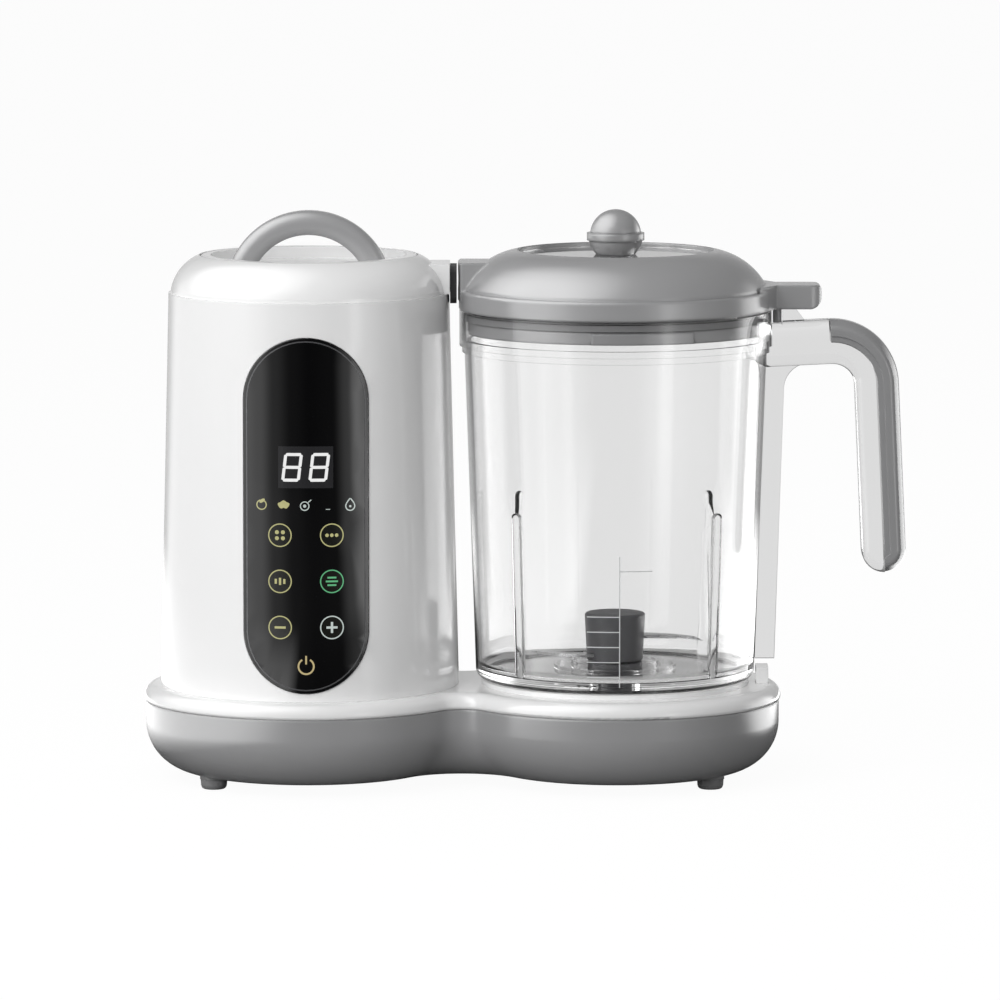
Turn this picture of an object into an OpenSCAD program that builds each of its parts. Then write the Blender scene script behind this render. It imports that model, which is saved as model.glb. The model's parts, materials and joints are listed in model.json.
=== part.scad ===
// Baby food processor: a steam tower and a blender jar side by side on a figure-8 base.
// Millimetres. +X points from the tower to the jar, -Y is the front, +Z is up.
// The origin is on the table, under the middle of the outer box.

/* [Layout] */
// Distance between the tower axis and the jar axis
axis_spacing = 123.6; // [122:0.1:140]
// Room left between pieces that move past each other
move_gap = 0.4; // [0.3:0.05:0.8]
// Room left between still pieces that slip into each other
fit_gap = 0.15; // [0.1:0.05:0.4]
// Radial room of a shaft in its bearing
run_gap = 0.05; // [0.02:0.01:0.1]

/* [Base] */
// Radius of each round lobe of the base
lobe_r = 66.5; // [64:0.5:74]
// Radius of the hollow at the waist between the lobes
waist_r = 10.75; // [8:0.25:24]
// Height of the grey pan
pan_h = 28.8; // [26:0.5:40]
// Rounding of the pan's bottom edge
pan_round = 20; // [8:0.5:24]
// Height of the white deck
deck_h = 6.4; // [6:0.1:18]
// Rounding of the deck's shoulder
deck_round = 5; // [4.8:0.1:9]
// How far the deck's edge stands out over the pan
deck_lip = 0.6; // [0.2:0.1:1.5]
// Wall of the pan, and thickness of the deck's top
base_wall = 2.5; // [1.8:0.1:3.5]
// Thickness of the deck's lip that drops into the pan
lip_t = 1.6; // [1:0.1:2.5]
// Depth of that lip below the seam
lip_depth = 3; // [2:0.5:6]
// Height of a rubber foot below the pan
foot_h = 4; // [2:0.5:10]
// Radius of a rubber foot
foot_r = 5.4; // [4:0.1:8]
// Place of a foot from its lobe's axis, along X
foot_x = 38; // [30:0.5:42]
// Place of a foot from its lobe's axis, along Y
foot_y = 30; // [24:0.5:36]

/* [Tower] */
// Radius of the tower at the deck
tower_base_r = 60.4; // [58:0.1:63]
// Radius of the tower at its top edge
tower_top_r = 56.6; // [55:0.1:60]
// Height of the tower shell
tower_h = 158.6; // [150:1:190]
// Wall of the tower shell
tower_wall = 2.4; // [1.8:0.1:3]
// Height of the dome over the tower's top edge
dome_h = 15.2; // [14.5:0.1:20]
// Radius of the dome's bulge
dome_bulge_r = 18.7; // [15:0.1:26]
// Wall of the dome
dome_wall = 2.4; // [1.8:0.1:3]
// Step between the tower's edge and the dome's foot
dome_step = 1; // [0.5:0.1:2]

/* [Touch panel] */
// Width of the black panel
panel_w = 49.7; // [40:0.1:54]
// Height of the black panel
panel_h = 141.6; // [120:0.5:146]
// Height of the panel's lower end above the deck
panel_lift = 3.5; // [2:0.5:10]
// Thickness of the panel's lens
lens_t = 1.6; // [1.2:0.1:2]
// How far the lens stands proud of the shell
lens_proud = 0.5; // [0.2:0.1:0.8]
// Width of the ledge that the lens sits on
lens_ledge = 8; // [5:0.5:12]
// Distance of the control board from the tower axis
board_y = 46; // [43:0.5:48]
// Thickness of the circuit boards
board_t = 1.6; // [1:0.1:2]
// Width of the circuit boards
board_w = 46; // [42:0.5:48]
// Width of the display module
display_w = 22; // [16:0.5:28]
// Height of the display module
display_h = 17; // [12:0.5:24]
// Height of the display's middle above the deck
display_lift = 94.6; // [80:0.5:110]

/* [Water tank] */
// Radius of the opening in the dome
tank_open_r = 44.1; // [43:0.1:46]
// Outer radius of the boiler cup
boiler_r = 42; // [36:0.1:42]
// Depth of the boiler cup
boiler_depth = 66; // [50:1:80]
// Wall of the boiler cup
boiler_wall = 1.2; // [0.8:0.1:2]
// Thickness of the heating plate
heater_t = 7; // [5:0.5:10]
// Radius of the steam pipe
pipe_r = 3.2; // [2.6:0.1:3.4]
// Radius of the steam way
steam_r = 2.2; // [1.5:0.1:2.4]
// Width of the rim round the cap's dish
cap_rim_w = 4.2; // [3:0.1:6]
// Depth of the dish in the cap
cap_dish = 4.7; // [3:0.1:6]
// Thickness of the cap's floor
cap_floor_t = 2.5; // [2:0.1:3.3]
// Rise of the arch handle's middle line above the cap's dish
arch_rise = 17.5; // [15:0.1:24]
// Radius of the arch handle's middle line
arch_r = 29; // [24:0.1:32]
// Thickness of the arch handle
arch_t = 9.8; // [8:0.1:13]
// Width of the arch handle
arch_w = 13; // [10:0.5:18]

/* [Steam link] */
// Height of the steam way below the dome's top
steam_drop = 9.7; // [9:0.1:11]
// Height of the outlet block and of the lid's inlet block
link_h = 17; // [15:0.5:18]
// Width of the outlet block and of the lid's inlet block
link_w = 23; // [18:0.5:30]
// Thickness of the dark gasket
link_gasket_t = 2.6; // [1.8:0.1:3]

/* [Jar] */
// Outer radius of the jar at its bottom
jar_base_r = 56.2; // [53:0.1:57]
// Outer radius of the jar under the bead
jar_top_r = 60.9; // [58:0.1:61.5]
// Wall of the jar
jar_wall = 2.5; // [2:0.1:3.5]
// Height of the jar
jar_h = 149.4; // [140:0.5:170]
// Height of the jar's collar
collar_h = 14; // [13:0.5:20]
// How far the collar stands out from the wall below it
collar_step = 2.1; // [1:0.1:2.5]
// Height of the bead under the collar
bead_h = 2.6; // [1.5:0.1:4]
// Thickness of the jar's floor
jar_floor_t = 3; // [2.5:0.1:4]
// Height of the hollow under the jar's floor
jar_kick = 1.3; // [1:0.1:2]
// Width of an inner rib
rib_w = 4.4; // [3:0.1:6]
// Height of an inner rib above the floor
rib_h = 65; // [40:1:100]

/* [Jar handle] */
// Distance of the handle's bend centre from the jar axis
bend_x = 87.5; // [84:0.1:96]
// Height of the bend centre below the jar's rim
bend_drop = 30.5; // [30:0.5:44]
// Inner radius of the handle's bend
bend_inner_r = 9; // [6:0.5:14]
// Thickness of the handle, seen from the front
handle_t = 17.9; // [14:0.5:20]
// Width of the handle, seen from the side
handle_w = 18; // [14:0.5:24]
// Length of the handle's straight leg
leg_len = 67.5; // [40:0.5:80]
// Outward lean of the whole handle in degrees
leg_lean = 2.7; // [0:0.1:6]
// Thickness of the clear fin
fin_t = 5; // [3:0.5:8]
// Reach of the fin from the jar axis at its foot
fin_foot_x = 64.5; // [61:0.1:66]
// Reach of the fin from the jar axis at its top
fin_top_x = 68; // [66:0.1:72]
// Height of the fin's foot above the deck
fin_lift = 9.8; // [5.5:0.1:12]

/* [Lid] */
// Radius of the lid's rim
lid_r = 63.2; // [62:0.1:64]
// Height of the lid's rim
lid_rim_h = 8; // [4:0.1:9]
// Height of the lid's dome above its rim
lid_dome_h = 15.9; // [15.5:0.1:20]
// Radius of the lid's bulge
lid_bulge_r = 28; // [22:0.5:40]
// Wall of the lid
lid_wall = 2.4; // [1.8:0.1:3]
// Radius of the recess for the window
window_r = 39.5; // [34:0.1:41]
// Depth of the recess over the window
window_drop = 1.8; // [1.5:0.1:5]
// Thickness of the window
window_t = 2.5; // [2:0.1:3]
// Depth of the lid's skirt inside the collar
skirt_h = 9.3; // [9:0.1:12]
// Reach of the thumb tab from the jar axis
tab_reach = 82.9; // [78:0.1:90]
// Thickness of the thumb tab
tab_t = 9.6; // [7:0.1:10.5]
// Width of the thumb tab
tab_w = 18; // [12:0.5:24]
// Radius of the knob's ball
knob_r = 10.3; // [8:0.1:13]
// Radius of the knob's flange
knob_flange_r = 11.6; // [10:0.1:14]
// Height of the knob's bowl under its flange
knob_bowl_h = 5.7; // [5:0.1:10]

/* [Blades] */
// Radius of the blade hub
hub_r = 12.3; // [11:0.1:15]
// Height of the blade hub
hub_h = 19; // [17:0.5:26]
// Reach of a blade from the axis
blade_reach = 35; // [30:0.5:44]
// Thickness of a blade
blade_t = 1.2; // [0.8:0.1:1.6]
// Height of the lower blade above the hub's foot
lower_blade_lift = 1.5; // [1:0.5:6]
// Height of the upper blade above the lower one
blade_rise = 7; // [4:0.5:9]
// Radius of the blade spindle
spindle_r = 3.5; // [3:0.1:4]

/* [Drive] */
// Radius of the motor can
motor_r = 21; // [18:0.5:26]
// Height of the motor can
motor_h = 65; // [50:1:66]
// Radius of the motor shaft
motor_shaft_r = 2.5; // [2:0.1:4]
// Radius of the belt's lane on the motor pulley
motor_pulley_r = 10; // [8:0.5:14]
// Radius of the belt's lane on the driven pulley
driven_pulley_r = 24; // [18:0.5:30]
// Width of the belt
belt_w = 6.5; // [5:0.5:8]
// Thickness of the belt
belt_t = 1.6; // [1:0.1:2.5]
// Height of a pulley's flange over the belt's lane
flange_h = 2; // [1:0.1:3]
// Radius of the drive shaft
drive_shaft_r = 4; // [3:0.1:5]
// Outer radius of a drive bearing
bearing_r = 8; // [6.5:0.1:10]
// Height of a drive bearing
bearing_h = 5; // [4:0.5:5]
// Radius of the well in the deck under the jar
well_r = 24; // [20:0.5:28]
// Depth of that well
well_depth = 11.5; // [11:0.1:12]
// Radius over the teeth of the drive coupling
coupling_r = 8.5; // [7:0.1:10]

/* [Hidden] */
$fn = 96;
over = 1;

// Levels above the table
seam_z = foot_h + pan_h;
deck_z = seam_z + deck_h;
deck_under_z = deck_z - base_wall;
seat_step = 1.8;
seat_z = deck_z + seat_step;
tower_top_z = deck_z + tower_h;
dome_ledge_h = 1.5;
dome_foot_z = tower_top_z + dome_ledge_h;
dome_top_z = tower_top_z + dome_h;
steam_z = dome_top_z - steam_drop;

// The handle's outermost point sets the box, and the box sets both axes
handle_mid = bend_inner_r + handle_t / 2;
handle_reach = bend_x + handle_mid * cos(leg_lean) + leg_len * sin(leg_lean) + handle_t / 2;
tower_x = snap((lobe_r + deck_lip - axis_spacing - handle_reach) / 2);
jar_x = tower_x + axis_spacing;
waist_x = (tower_x + jar_x) / 2;
waist_y = snap(sqrt(pow(lobe_r + waist_r, 2) - pow(axis_spacing / 2, 2)));
waist_reach = norm([axis_spacing / 2, waist_y]);

// Base fasteners
deck_wall = base_wall + fit_gap + lip_t;
deck_edge = 1.2;
screw_r = 1.5;
screw_head_r = 2.8;
screw_head_h = 2;
boss_r = 4.2;
pan_boss_h = 6;
base_screw_len = 14;
base_screw_y = 41;
base_screw_x = 8;
screw_sink = screw_head_h + 0.5;
screw_grip = 6;
foot_rim = 0.2;
foot_boss_h = base_wall + 2;
foot_draft = 0.3;
foot_edge = 1.4;
stem_r = 2;
stem_grip = 1;
motor_boss_h = 6;
tower_spot_h = 2;

// Cord gland at the back
gland_r = 4.6;
gland_bore_r = 3.2;
gland_len = 13;
gland_flange = 1.6;
gland_inset = 0.2;
gland_neck = base_wall + 2.4;
gland_z = seam_z - lip_depth - gland_r - gland_flange - 0.5;

// Post beside the jar, with the sealed switch under it
post_in_x = jar_base_r + 0.9;
post_out_x = jar_base_r + 5.8;
post_w = 12;
post_rise = fin_lift - 3.1;
post_foot = 2.5;
post_flange = 4;
switch_h = 9;

// Raised seat under the jar's foot, with the ring that centres it
seat_out_r = jar_base_r - 2;
seat_w = 4.6;
seat_h = 1.1;

// Tower levels and fittings
spigot_t = 2;
spigot_h = 4;
neck_t = 2.2;
neck_drop = 8.3;
neck_z = dome_top_z - neck_drop;
seal_t = 1.2;
tower_screw_r = 50;
tower_boss_h = 14;
panel_z = deck_z + panel_lift;
pocket_floor = lens_t - lens_proud;
board_boss_r = 2.4;
board_boss_inset = 4;
board_margin = 8;
power_margin = 20;
boss_rib_t = 2;

// Blocks on the boards: a plug, a chip, a coil, a relay and a capacitor
plug_size = [30, 6, 8];
plug_lift = 10;
chip_size = [16, 3, 16];
chip_lift = 50;
coil_size = [22, 16, 20];
coil_lift = 6;
relay_size = [36, 9, 10];
relay_lift = 32;
power_block_x = -18;
capacitor_r = 6;
capacitor_h = 14;
capacitor_x = 13;
capacitor_lift = 14;

// Dome
dome_foot = [tower_top_r - dome_step, dome_foot_z];
dome_edge = [tank_open_r, dome_top_z];
dome_center = arc_center(dome_foot, dome_edge, dome_bulge_r);
spigot_r = tower_r(tower_top_z) - tower_wall - fit_gap;

// Heater under the tank, with the thermostat in the gap of its ring, clear of the motor
heater_inset = 3;
heater_ring_inset = 14;
heater_sweep = 320;
thermostat_r = 8;
thermostat_h = 8;
thermostat_gap = 1;
thermostat_x = motor_r + thermostat_r + thermostat_gap;
thermostat_tab = [0.8, 6, 7];
thermostat_tab_x = 4;

// Tank
boiler_rim_z = neck_z - seal_t - fit_gap;
boiler_z = boiler_rim_z - boiler_depth;
boiler_rim_w = 3;
boiler_in_r = boiler_r - boiler_wall;
cap_r = tank_open_r - move_gap;
cap_z = neck_z + move_gap;
cap_floor_z = dome_top_z - cap_dish;
cap_dish_r = cap_r - cap_rim_w;
plug_r = boiler_in_r - 1;
plug_t = 3.6;
plug_depth = 11;
ring_groove_h = 3;
ring_groove_d = 1.8;
arch_z = cap_floor_z + arch_rise - arch_r;
arch_screw_x = arch_r * 0.87;
pipe_x = tank_open_r + neck_t + pipe_r + 0.3;
link_back_x = tank_open_r + neck_t / 2;
link_face_x = tower_top_r + 0.2;
link_port_r = 4;
link_cap = 2;
pipe_drop = 24;
pipe_low_z = neck_z - pipe_drop;
pipe_socket = 2.5;
control_low_z = panel_z + board_margin;
control_high_z = panel_z + panel_h - board_margin;
power_low_z = deck_z + power_margin;
power_high_z = boiler_z - heater_t - power_margin;

// Jar levels
jar_z = seat_z + move_gap / 2;
jar_rim_z = jar_z + jar_h;
collar_z = jar_rim_z - collar_h;
bead_z = collar_z - bead_h;
collar_r = jar_top_r + collar_step;
bead_r = jar_top_r + collar_step / 2;
jar_under_z = jar_z + jar_kick;
jar_floor_z = jar_under_z + jar_floor_t;
jar_foot_w = 6;
seat_r = jar_base_r - jar_foot_w - move_gap;
jar_round = 4;
collar_in_r = collar_r - jar_wall;
bend_z = jar_rim_z - bend_drop;
bend_outer_r = bend_inner_r + handle_t;
bracket_top_z = bend_z + bend_outer_r;
core_round = 4;
cover_round = 6.5;
cover_gap = 0.2;
bracket_len = bend_x - jar_base_r / 2;
fin_fillet = 10.5;
fin_cap = 9.8;
fin_slope = 14.5;
peg_x = 65.2;
peg_r = 1.8;
peg_depth = 1.5;
peg_groove = 2.2;
floor_rings = [[17.7, 3], [24.7, 1.5]];
floor_ring_t = 1.2;

// Lid levels
lid_z = jar_rim_z + move_gap;
lid_rim_top_z = lid_z + lid_rim_h;
lid_dome_foot_z = lid_rim_top_z + 1;
lid_dome_foot_r = lid_r - 2.1;
lid_top_z = lid_rim_top_z + lid_dome_h;
lid_center = arc_center([lid_dome_foot_r, lid_dome_foot_z], [window_r, lid_top_z], lid_bulge_r);
window_top_z = lid_top_z - window_drop;
window_z = window_top_z - window_t;
window_ledge = 2.5;
skirt_r = collar_in_r - 1.2;
skirt_t = 3.4;
lug_t = 0.7;
skirt_z = lid_z - skirt_h;
tab_z = lid_z + 0.5;
tab_flare = 14;
inlet_r = lid_r + 0.3;
knob_z = window_top_z;
knob_flange_z = knob_z + knob_bowl_h;
knob_flange_h = 3;
knob_bowl_rise = 2;
knob_ball_z = knob_flange_z + 2.1;
lug_h = 4.5;
groove_lift = skirt_h - ring_groove_h - 1.2;

// Drive levels
pulley_z = foot_h + base_wall + 1.2;
lane_z = pulley_z + 1.2;
lane_h = belt_w + 2 * move_gap;
pulley_h = lane_h + 2.4;
well_z = seat_z - well_depth;
bearing_boss_z = pulley_z + pulley_h + 1;
drive_z = well_z + move_gap;
drive_coupling_h = 4.6;
coupling_web_z = drive_z + drive_coupling_h + move_gap;
nut_h = 2.6;
nut_z = jar_under_z - nut_h;
jar_coupling_top_z = nut_z - move_gap;
bush_r = 7;
bush_flange_r = 11;
bush_flange_h = 2;
bush_h = 5;
bush_top_z = jar_floor_z + bush_h;
hub_z = jar_floor_z + bush_flange_h + 1.2;
hub_cap = 4;
lower_blade_z = hub_z + lower_blade_lift;
upper_blade_z = lower_blade_z + blade_rise;
motor_plate_t = 2.5;
motor_z = deck_z + motor_plate_t;
motor_wall = 1.5;
motor_plate_r = 30;
motor_screw_at = 26;
commutator_h = 12;

// A length rounded to 0.01 mm, so that axes shared by several pieces agree to the last digit
function snap(x) = round(x * 100) / 100;

// Outer radius of the tower shell at a height
function tower_r(z) = tower_base_r + (tower_top_r - tower_base_r) * (z - deck_z) / tower_h;

// Outer radius of the jar's wall at a height
function jar_r(z) = jar_base_r + (jar_top_r - jar_base_r) * (z - jar_z) / (bead_z - jar_z);

// Centre of the arc of radius r that rises from p to q and bulges outwards
function arc_center(p, q, r) =
  let (d = norm(q - p), h = sqrt(r * r - d * d / 4))
  (p + q) / 2 + h / d * [p.y - q.y, q.x - p.x];

module on_tower() translate([tower_x, 0, 0]) children();

module on_jar() translate([jar_x, 0, 0]) children();

// A plain ring, given by its two radii, its foot and its height
module ring(r_in, r_out, z, h) {
  translate([0, 0, z])
    difference() {
      cylinder(r = r_out, h = h);
      translate([0, 0, -over]) cylinder(r = r_in, h = h + 2 * over);
    }
}

// A rod along Z from one level to another
module rod(r, z0, z1) translate([0, 0, z0]) cylinder(r = r, h = z1 - z0);

// What is cut away to round the corner of a profile at the origin, in the first quadrant
module corner_cut(r) {
  difference() {
    translate([-over, -over]) square(r + over);
    translate([r, r]) circle(r);
  }
}

// The waist's rhombus, from axis to axis and through both waist centres
module waist_rhombus() {
  polygon([[tower_x, 0], [waist_x, -waist_y], [jar_x, 0], [waist_x, waist_y]]);
}

// Sweeps a lobe's half profile, given from z0 to z1, round the figure-8 outline
module figure8(z0, z1) {
  difference() {
    for (x = [tower_x, jar_x])
      translate([x, 0, 0]) rotate_extrude() children();
    translate([0, 0, z0 - over]) linear_extrude(z1 - z0 + 2 * over) waist_rhombus();
  }
  difference() {
    translate([0, 0, z0]) linear_extrude(z1 - z0) waist_rhombus();
    for (side = [-1, 1])
      translate([waist_x, side * waist_y, 0])
        rotate_extrude()
          difference() {
            translate([0, z0 - over]) square([waist_reach - over, z1 - z0 + 2 * over]);
            translate([waist_reach, 0]) mirror([1, 0]) children();
          }
  }
}

// Half profile of the pan, set in from its outside
module pan_profile(inset) {
  difference() {
    translate([0, foot_h + inset]) square([lobe_r - inset, pan_h - inset]);
    translate([lobe_r - inset, foot_h + inset]) mirror([1, 0]) corner_cut(pan_round - inset);
  }
}

// Half profile of the deck's outside, which stands out over the pan
module deck_profile() {
  edge_r = lobe_r + deck_lip;
  difference() {
    translate([0, seam_z]) square([edge_r, deck_h]);
    translate([edge_r, deck_z]) mirror([1, 0]) mirror([0, 1]) corner_cut(deck_round);
    translate([edge_r, seam_z]) mirror([1, 0]) corner_cut(deck_edge);
  }
}

// Half profile of the hollow under the deck
module deck_hollow() {
  hollow_r = lobe_r - deck_wall;
  difference() {
    translate([0, seam_z]) square([hollow_r, deck_h - base_wall]);
    translate([hollow_r, deck_under_z]) mirror([1, 0]) mirror([0, 1]) corner_cut(deck_round - deck_wall);
  }
}

// Half profile of the deck's lip inside the pan
module lip_profile(inset) {
  translate([0, seam_z - lip_depth]) square([lobe_r - inset, lip_depth + over]);
}

module at_feet() {
  for (side = [-1, 1]) {
    translate([tower_x - foot_x, side * foot_y, 0]) children();
    translate([jar_x + foot_x, side * foot_y, 0]) children();
  }
}

module at_base_screws() {
  for (side = [-1, 1]) {
    translate([tower_x - base_screw_x, side * base_screw_y, 0]) children();
    translate([jar_x + base_screw_x, side * base_screw_y, 0]) children();
  }
}

module at_tower_screws() {
  for (turn = [45:90:315])
    on_tower() rotate([0, 0, turn]) translate([tower_screw_r, 0, 0]) children();
}

module at_motor_screws() {
  for (turn = [0:90:270])
    on_tower() rotate([0, 0, turn]) translate([motor_screw_at, 0, 0]) children();
}

// A screw whose head's underside is at the origin, with its shank upwards
module screw(len) {
  translate([0, 0, -screw_head_h]) cylinder(r = screw_head_r, h = screw_head_h);
  cylinder(r = screw_r, h = len);
}

// The hole that such a screw passes through, with its sunk head
module screw_hole(len, sink) {
  cylinder(r = screw_r + fit_gap, h = len + over);
  translate([0, 0, -sink]) cylinder(r = screw_head_r + fit_gap, h = sink);
}

// Base

module base_pan() {
  color("darkgray")
    difference() {
      union() {
        difference() {
          figure8(foot_h, seam_z) pan_profile(0);
          figure8(foot_h + base_wall, seam_z) pan_profile(base_wall);
        }
        at_feet() rod(foot_r + foot_rim, foot_h, foot_h + foot_boss_h);
        at_base_screws() rod(boss_r + 1, foot_h, foot_h + pan_boss_h);
      }
      at_feet() rod(stem_r + fit_gap, foot_h - over, foot_h + foot_boss_h + over);
      at_base_screws() translate([0, 0, foot_h + screw_sink])
        screw_hole(pan_boss_h, screw_sink + over);
      gland_place() cylinder(r = gland_r + fit_gap, h = gland_len + gland_inset + over);
    }
}

module gland_place() {
  on_tower() translate([0, lobe_r - gland_len - gland_inset, gland_z]) rotate([-90, 0, 0]) children();
}

module base_deck() {
  post_z = foot_h + pan_boss_h + fit_gap;
  color("white")
    difference() {
      union() {
        difference() {
          figure8(seam_z, deck_z) deck_profile();
          figure8(seam_z, deck_under_z) deck_hollow();
        }
        difference() {
          figure8(seam_z - lip_depth, seam_z + over) lip_profile(base_wall + fit_gap);
          figure8(seam_z - lip_depth, seam_z + over) lip_profile(deck_wall);
        }
        at_base_screws() rod(boss_r, post_z, deck_under_z + over);
        at_motor_screws() rod(boss_r, deck_under_z - motor_boss_h, deck_under_z + over);
        at_tower_screws() rod(boss_r, deck_under_z - tower_spot_h, deck_under_z + over);
        on_jar() {
          rod(well_r + base_wall, well_z - base_wall, deck_under_z + over);
          rod(bearing_r + 3, bearing_boss_z, well_z);
          ring(seat_r - seat_w, seat_r, deck_under_z, seat_z + seat_h - deck_under_z);
          rod(seat_out_r, deck_under_z, seat_z);
        }
      }
      on_tower() rod(motor_pulley_r + flange_h + 1, bearing_boss_z, deck_z + over);
      on_jar() {
        rod(well_r, well_z, seat_z + over);
        rod(bearing_r + fit_gap / 2, bearing_boss_z - over, well_z + over);
      }
      at_base_screws() rod(screw_r + fit_gap, post_z - over, foot_h + base_screw_len + over);
      at_motor_screws() rod(screw_r + fit_gap, deck_under_z - motor_boss_h - over, deck_z + over);
      at_tower_screws() translate([0, 0, deck_under_z]) screw_hole(base_wall, tower_spot_h + over);
      on_jar() post_shape(fit_gap, deck_under_z - post_foot - over, deck_z + over);
    }
}

// The rectangular post's plan, grown all round, from one level to another
module post_shape(grow, z0, z1) {
  translate([post_in_x - grow, -post_w / 2 - grow, z0])
    cube([post_out_x - post_in_x + 2 * grow, post_w + 2 * grow, z1 - z0]);
}

module rubber_feet() {
  color("dimgray")
    at_feet() {
      rotate_extrude()
        difference() {
          polygon([[0, 0], [foot_r - foot_draft, 0], [foot_r, foot_h], [0, foot_h]]);
          translate([foot_r - foot_draft, 0]) mirror([1, 0]) corner_cut(foot_edge);
        }
      rod(stem_r, foot_h, foot_h + foot_boss_h + stem_grip);
    }
}

module base_screws() {
  color("silver")
    at_base_screws() translate([0, 0, foot_h + screw_sink]) screw(base_screw_len - screw_sink);
}

module jar_key_post() {
  color("white")
    on_jar() {
      post_shape(0, deck_under_z - post_foot, deck_z + post_rise);
      translate([post_in_x - post_flange, -post_w / 2 - post_flange / 2, deck_under_z - post_foot])
        cube([post_flange + over, post_w + post_flange, post_foot]);
    }
}

module jar_switch() {
  color("black")
    on_jar()
      translate([post_in_x - post_flange / 2, -post_w / 2, deck_under_z - post_foot - switch_h])
        cube([post_out_x - post_in_x + over, post_w, switch_h]);
}

module cord_gland() {
  color("darkgray")
    gland_place()
      difference() {
        union() {
          cylinder(r = gland_r, h = gland_len);
          cylinder(r = gland_r + gland_flange, h = gland_len - gland_neck);
        }
        translate([0, 0, -over]) cylinder(r = gland_bore_r, h = gland_len + 2 * over);
      }
}

// Tower

// Solid of the tower, grown or set in by an offset
module tower_solid(grow, z0, z1) {
  rotate_extrude()
    polygon([[0, z0], [tower_r(z0) + grow, z0], [tower_r(z1) + grow, z1], [0, z1]]);
}

// The panel's capsule outline grown by an offset, as a prism that runs forward from the axis
module panel_prism(grow) {
  end_r = panel_w / 2 + grow;
  low_z = panel_z + panel_w / 2;
  high_z = panel_z + panel_h - panel_w / 2;
  rotate([90, 0, 0])
    linear_extrude(tower_base_r + over) {
      translate([0, low_z]) circle(end_r);
      translate([0, high_z]) circle(end_r);
      translate([-end_r, low_z]) square([2 * end_r, high_z - low_z]);
    }
}

// Stand-offs between a wall of the tower and a board, at the board's corners
module board_bosses(low_z, high_z) {
  for (side = [-1, 1], z = [low_z + board_boss_inset, high_z - board_boss_inset])
    translate([side * (board_w / 2 - board_boss_r), 0, z])
      rotate([90, 0, 0]) translate([0, 0, board_y + board_t])
        cylinder(r = board_boss_r, h = tower_base_r - board_y);
}

module tower_shell() {
  color("whitesmoke")
    on_tower()
      difference() {
        union() {
          difference() {
            tower_solid(0, deck_z, tower_top_z);
            tower_solid(-tower_wall, deck_z - over, tower_top_z + over);
          }
          intersection() {
            tower_solid(-tower_wall / 2, deck_z, tower_top_z);
            union() {
              board_bosses(control_low_z, control_high_z);
              rotate([0, 0, 180]) board_bosses(power_low_z, power_high_z);
              for (turn = [45:90:315])
                rotate([0, 0, turn]) translate([tower_screw_r, 0, 0]) {
                  rod(boss_r, deck_z, deck_z + tower_boss_h);
                  translate([0, -boss_rib_t / 2, deck_z])
                    cube([tower_base_r - tower_screw_r, boss_rib_t, tower_boss_h]);
                }
            }
          }
        }
        difference() {
          panel_prism(fit_gap);
          tower_solid(-pocket_floor, deck_z, tower_top_z);
        }
        panel_prism(-lens_ledge);
        for (turn = [45:90:315])
          rotate([0, 0, turn]) translate([tower_screw_r, 0, 0])
            rod(screw_r + fit_gap, deck_z - over, deck_z + tower_boss_h - tower_spot_h);
      }
}

module tower_screws() {
  color("silver")
    at_tower_screws() translate([0, 0, deck_under_z]) screw(base_wall + tower_boss_h - 2 * tower_spot_h);
}

module panel_lens() {
  color("black")
    on_tower()
      intersection() {
        panel_prism(0);
        difference() {
          tower_solid(lens_proud, deck_z, tower_top_z);
          tower_solid(fit_gap - pocket_floor, deck_z - over, tower_top_z + over);
        }
      }
}

// A board that faces the wall, with its face towards -Y
module board(low_z, high_z) {
  translate([-board_w / 2, -board_y - board_t, low_z])
    cube([board_w, board_t, high_z - low_z]);
}

// A block on a board's inner face, from its left edge and its foot
module on_board(x, z, size) translate([x, -board_y, z]) cube(size);

module control_board() {
  color("darkgreen")
    on_tower() {
      board(control_low_z, control_high_z);
      on_board(-plug_size.x / 2, control_low_z + plug_lift, plug_size);
      on_board(-chip_size.x / 2, control_low_z + chip_lift, chip_size);
    }
}

module display_module() {
  mid_z = deck_z + display_lift;
  front_y = tower_r(mid_z) - tower_wall;
  color("black")
    on_tower()
      translate([-display_w / 2, -front_y, mid_z - display_h / 2])
        cube([display_w, front_y - board_y - board_t - fit_gap, display_h]);
}

module power_board() {
  color("darkgreen")
    on_tower()
      rotate([0, 0, 180]) {
        board(power_low_z, power_high_z);
        on_board(power_block_x, power_low_z + coil_lift, coil_size);
        on_board(power_block_x, power_low_z + relay_lift, relay_size);
        translate([capacitor_x, -board_y, power_low_z + capacitor_lift])
          rotate([-90, 0, 0]) cylinder(r = capacitor_r, h = capacitor_h);
      }
}

// Dome over the tower with its outlet block
module dome_disc(inset) translate(dome_center) circle(dome_bulge_r - inset);

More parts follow.
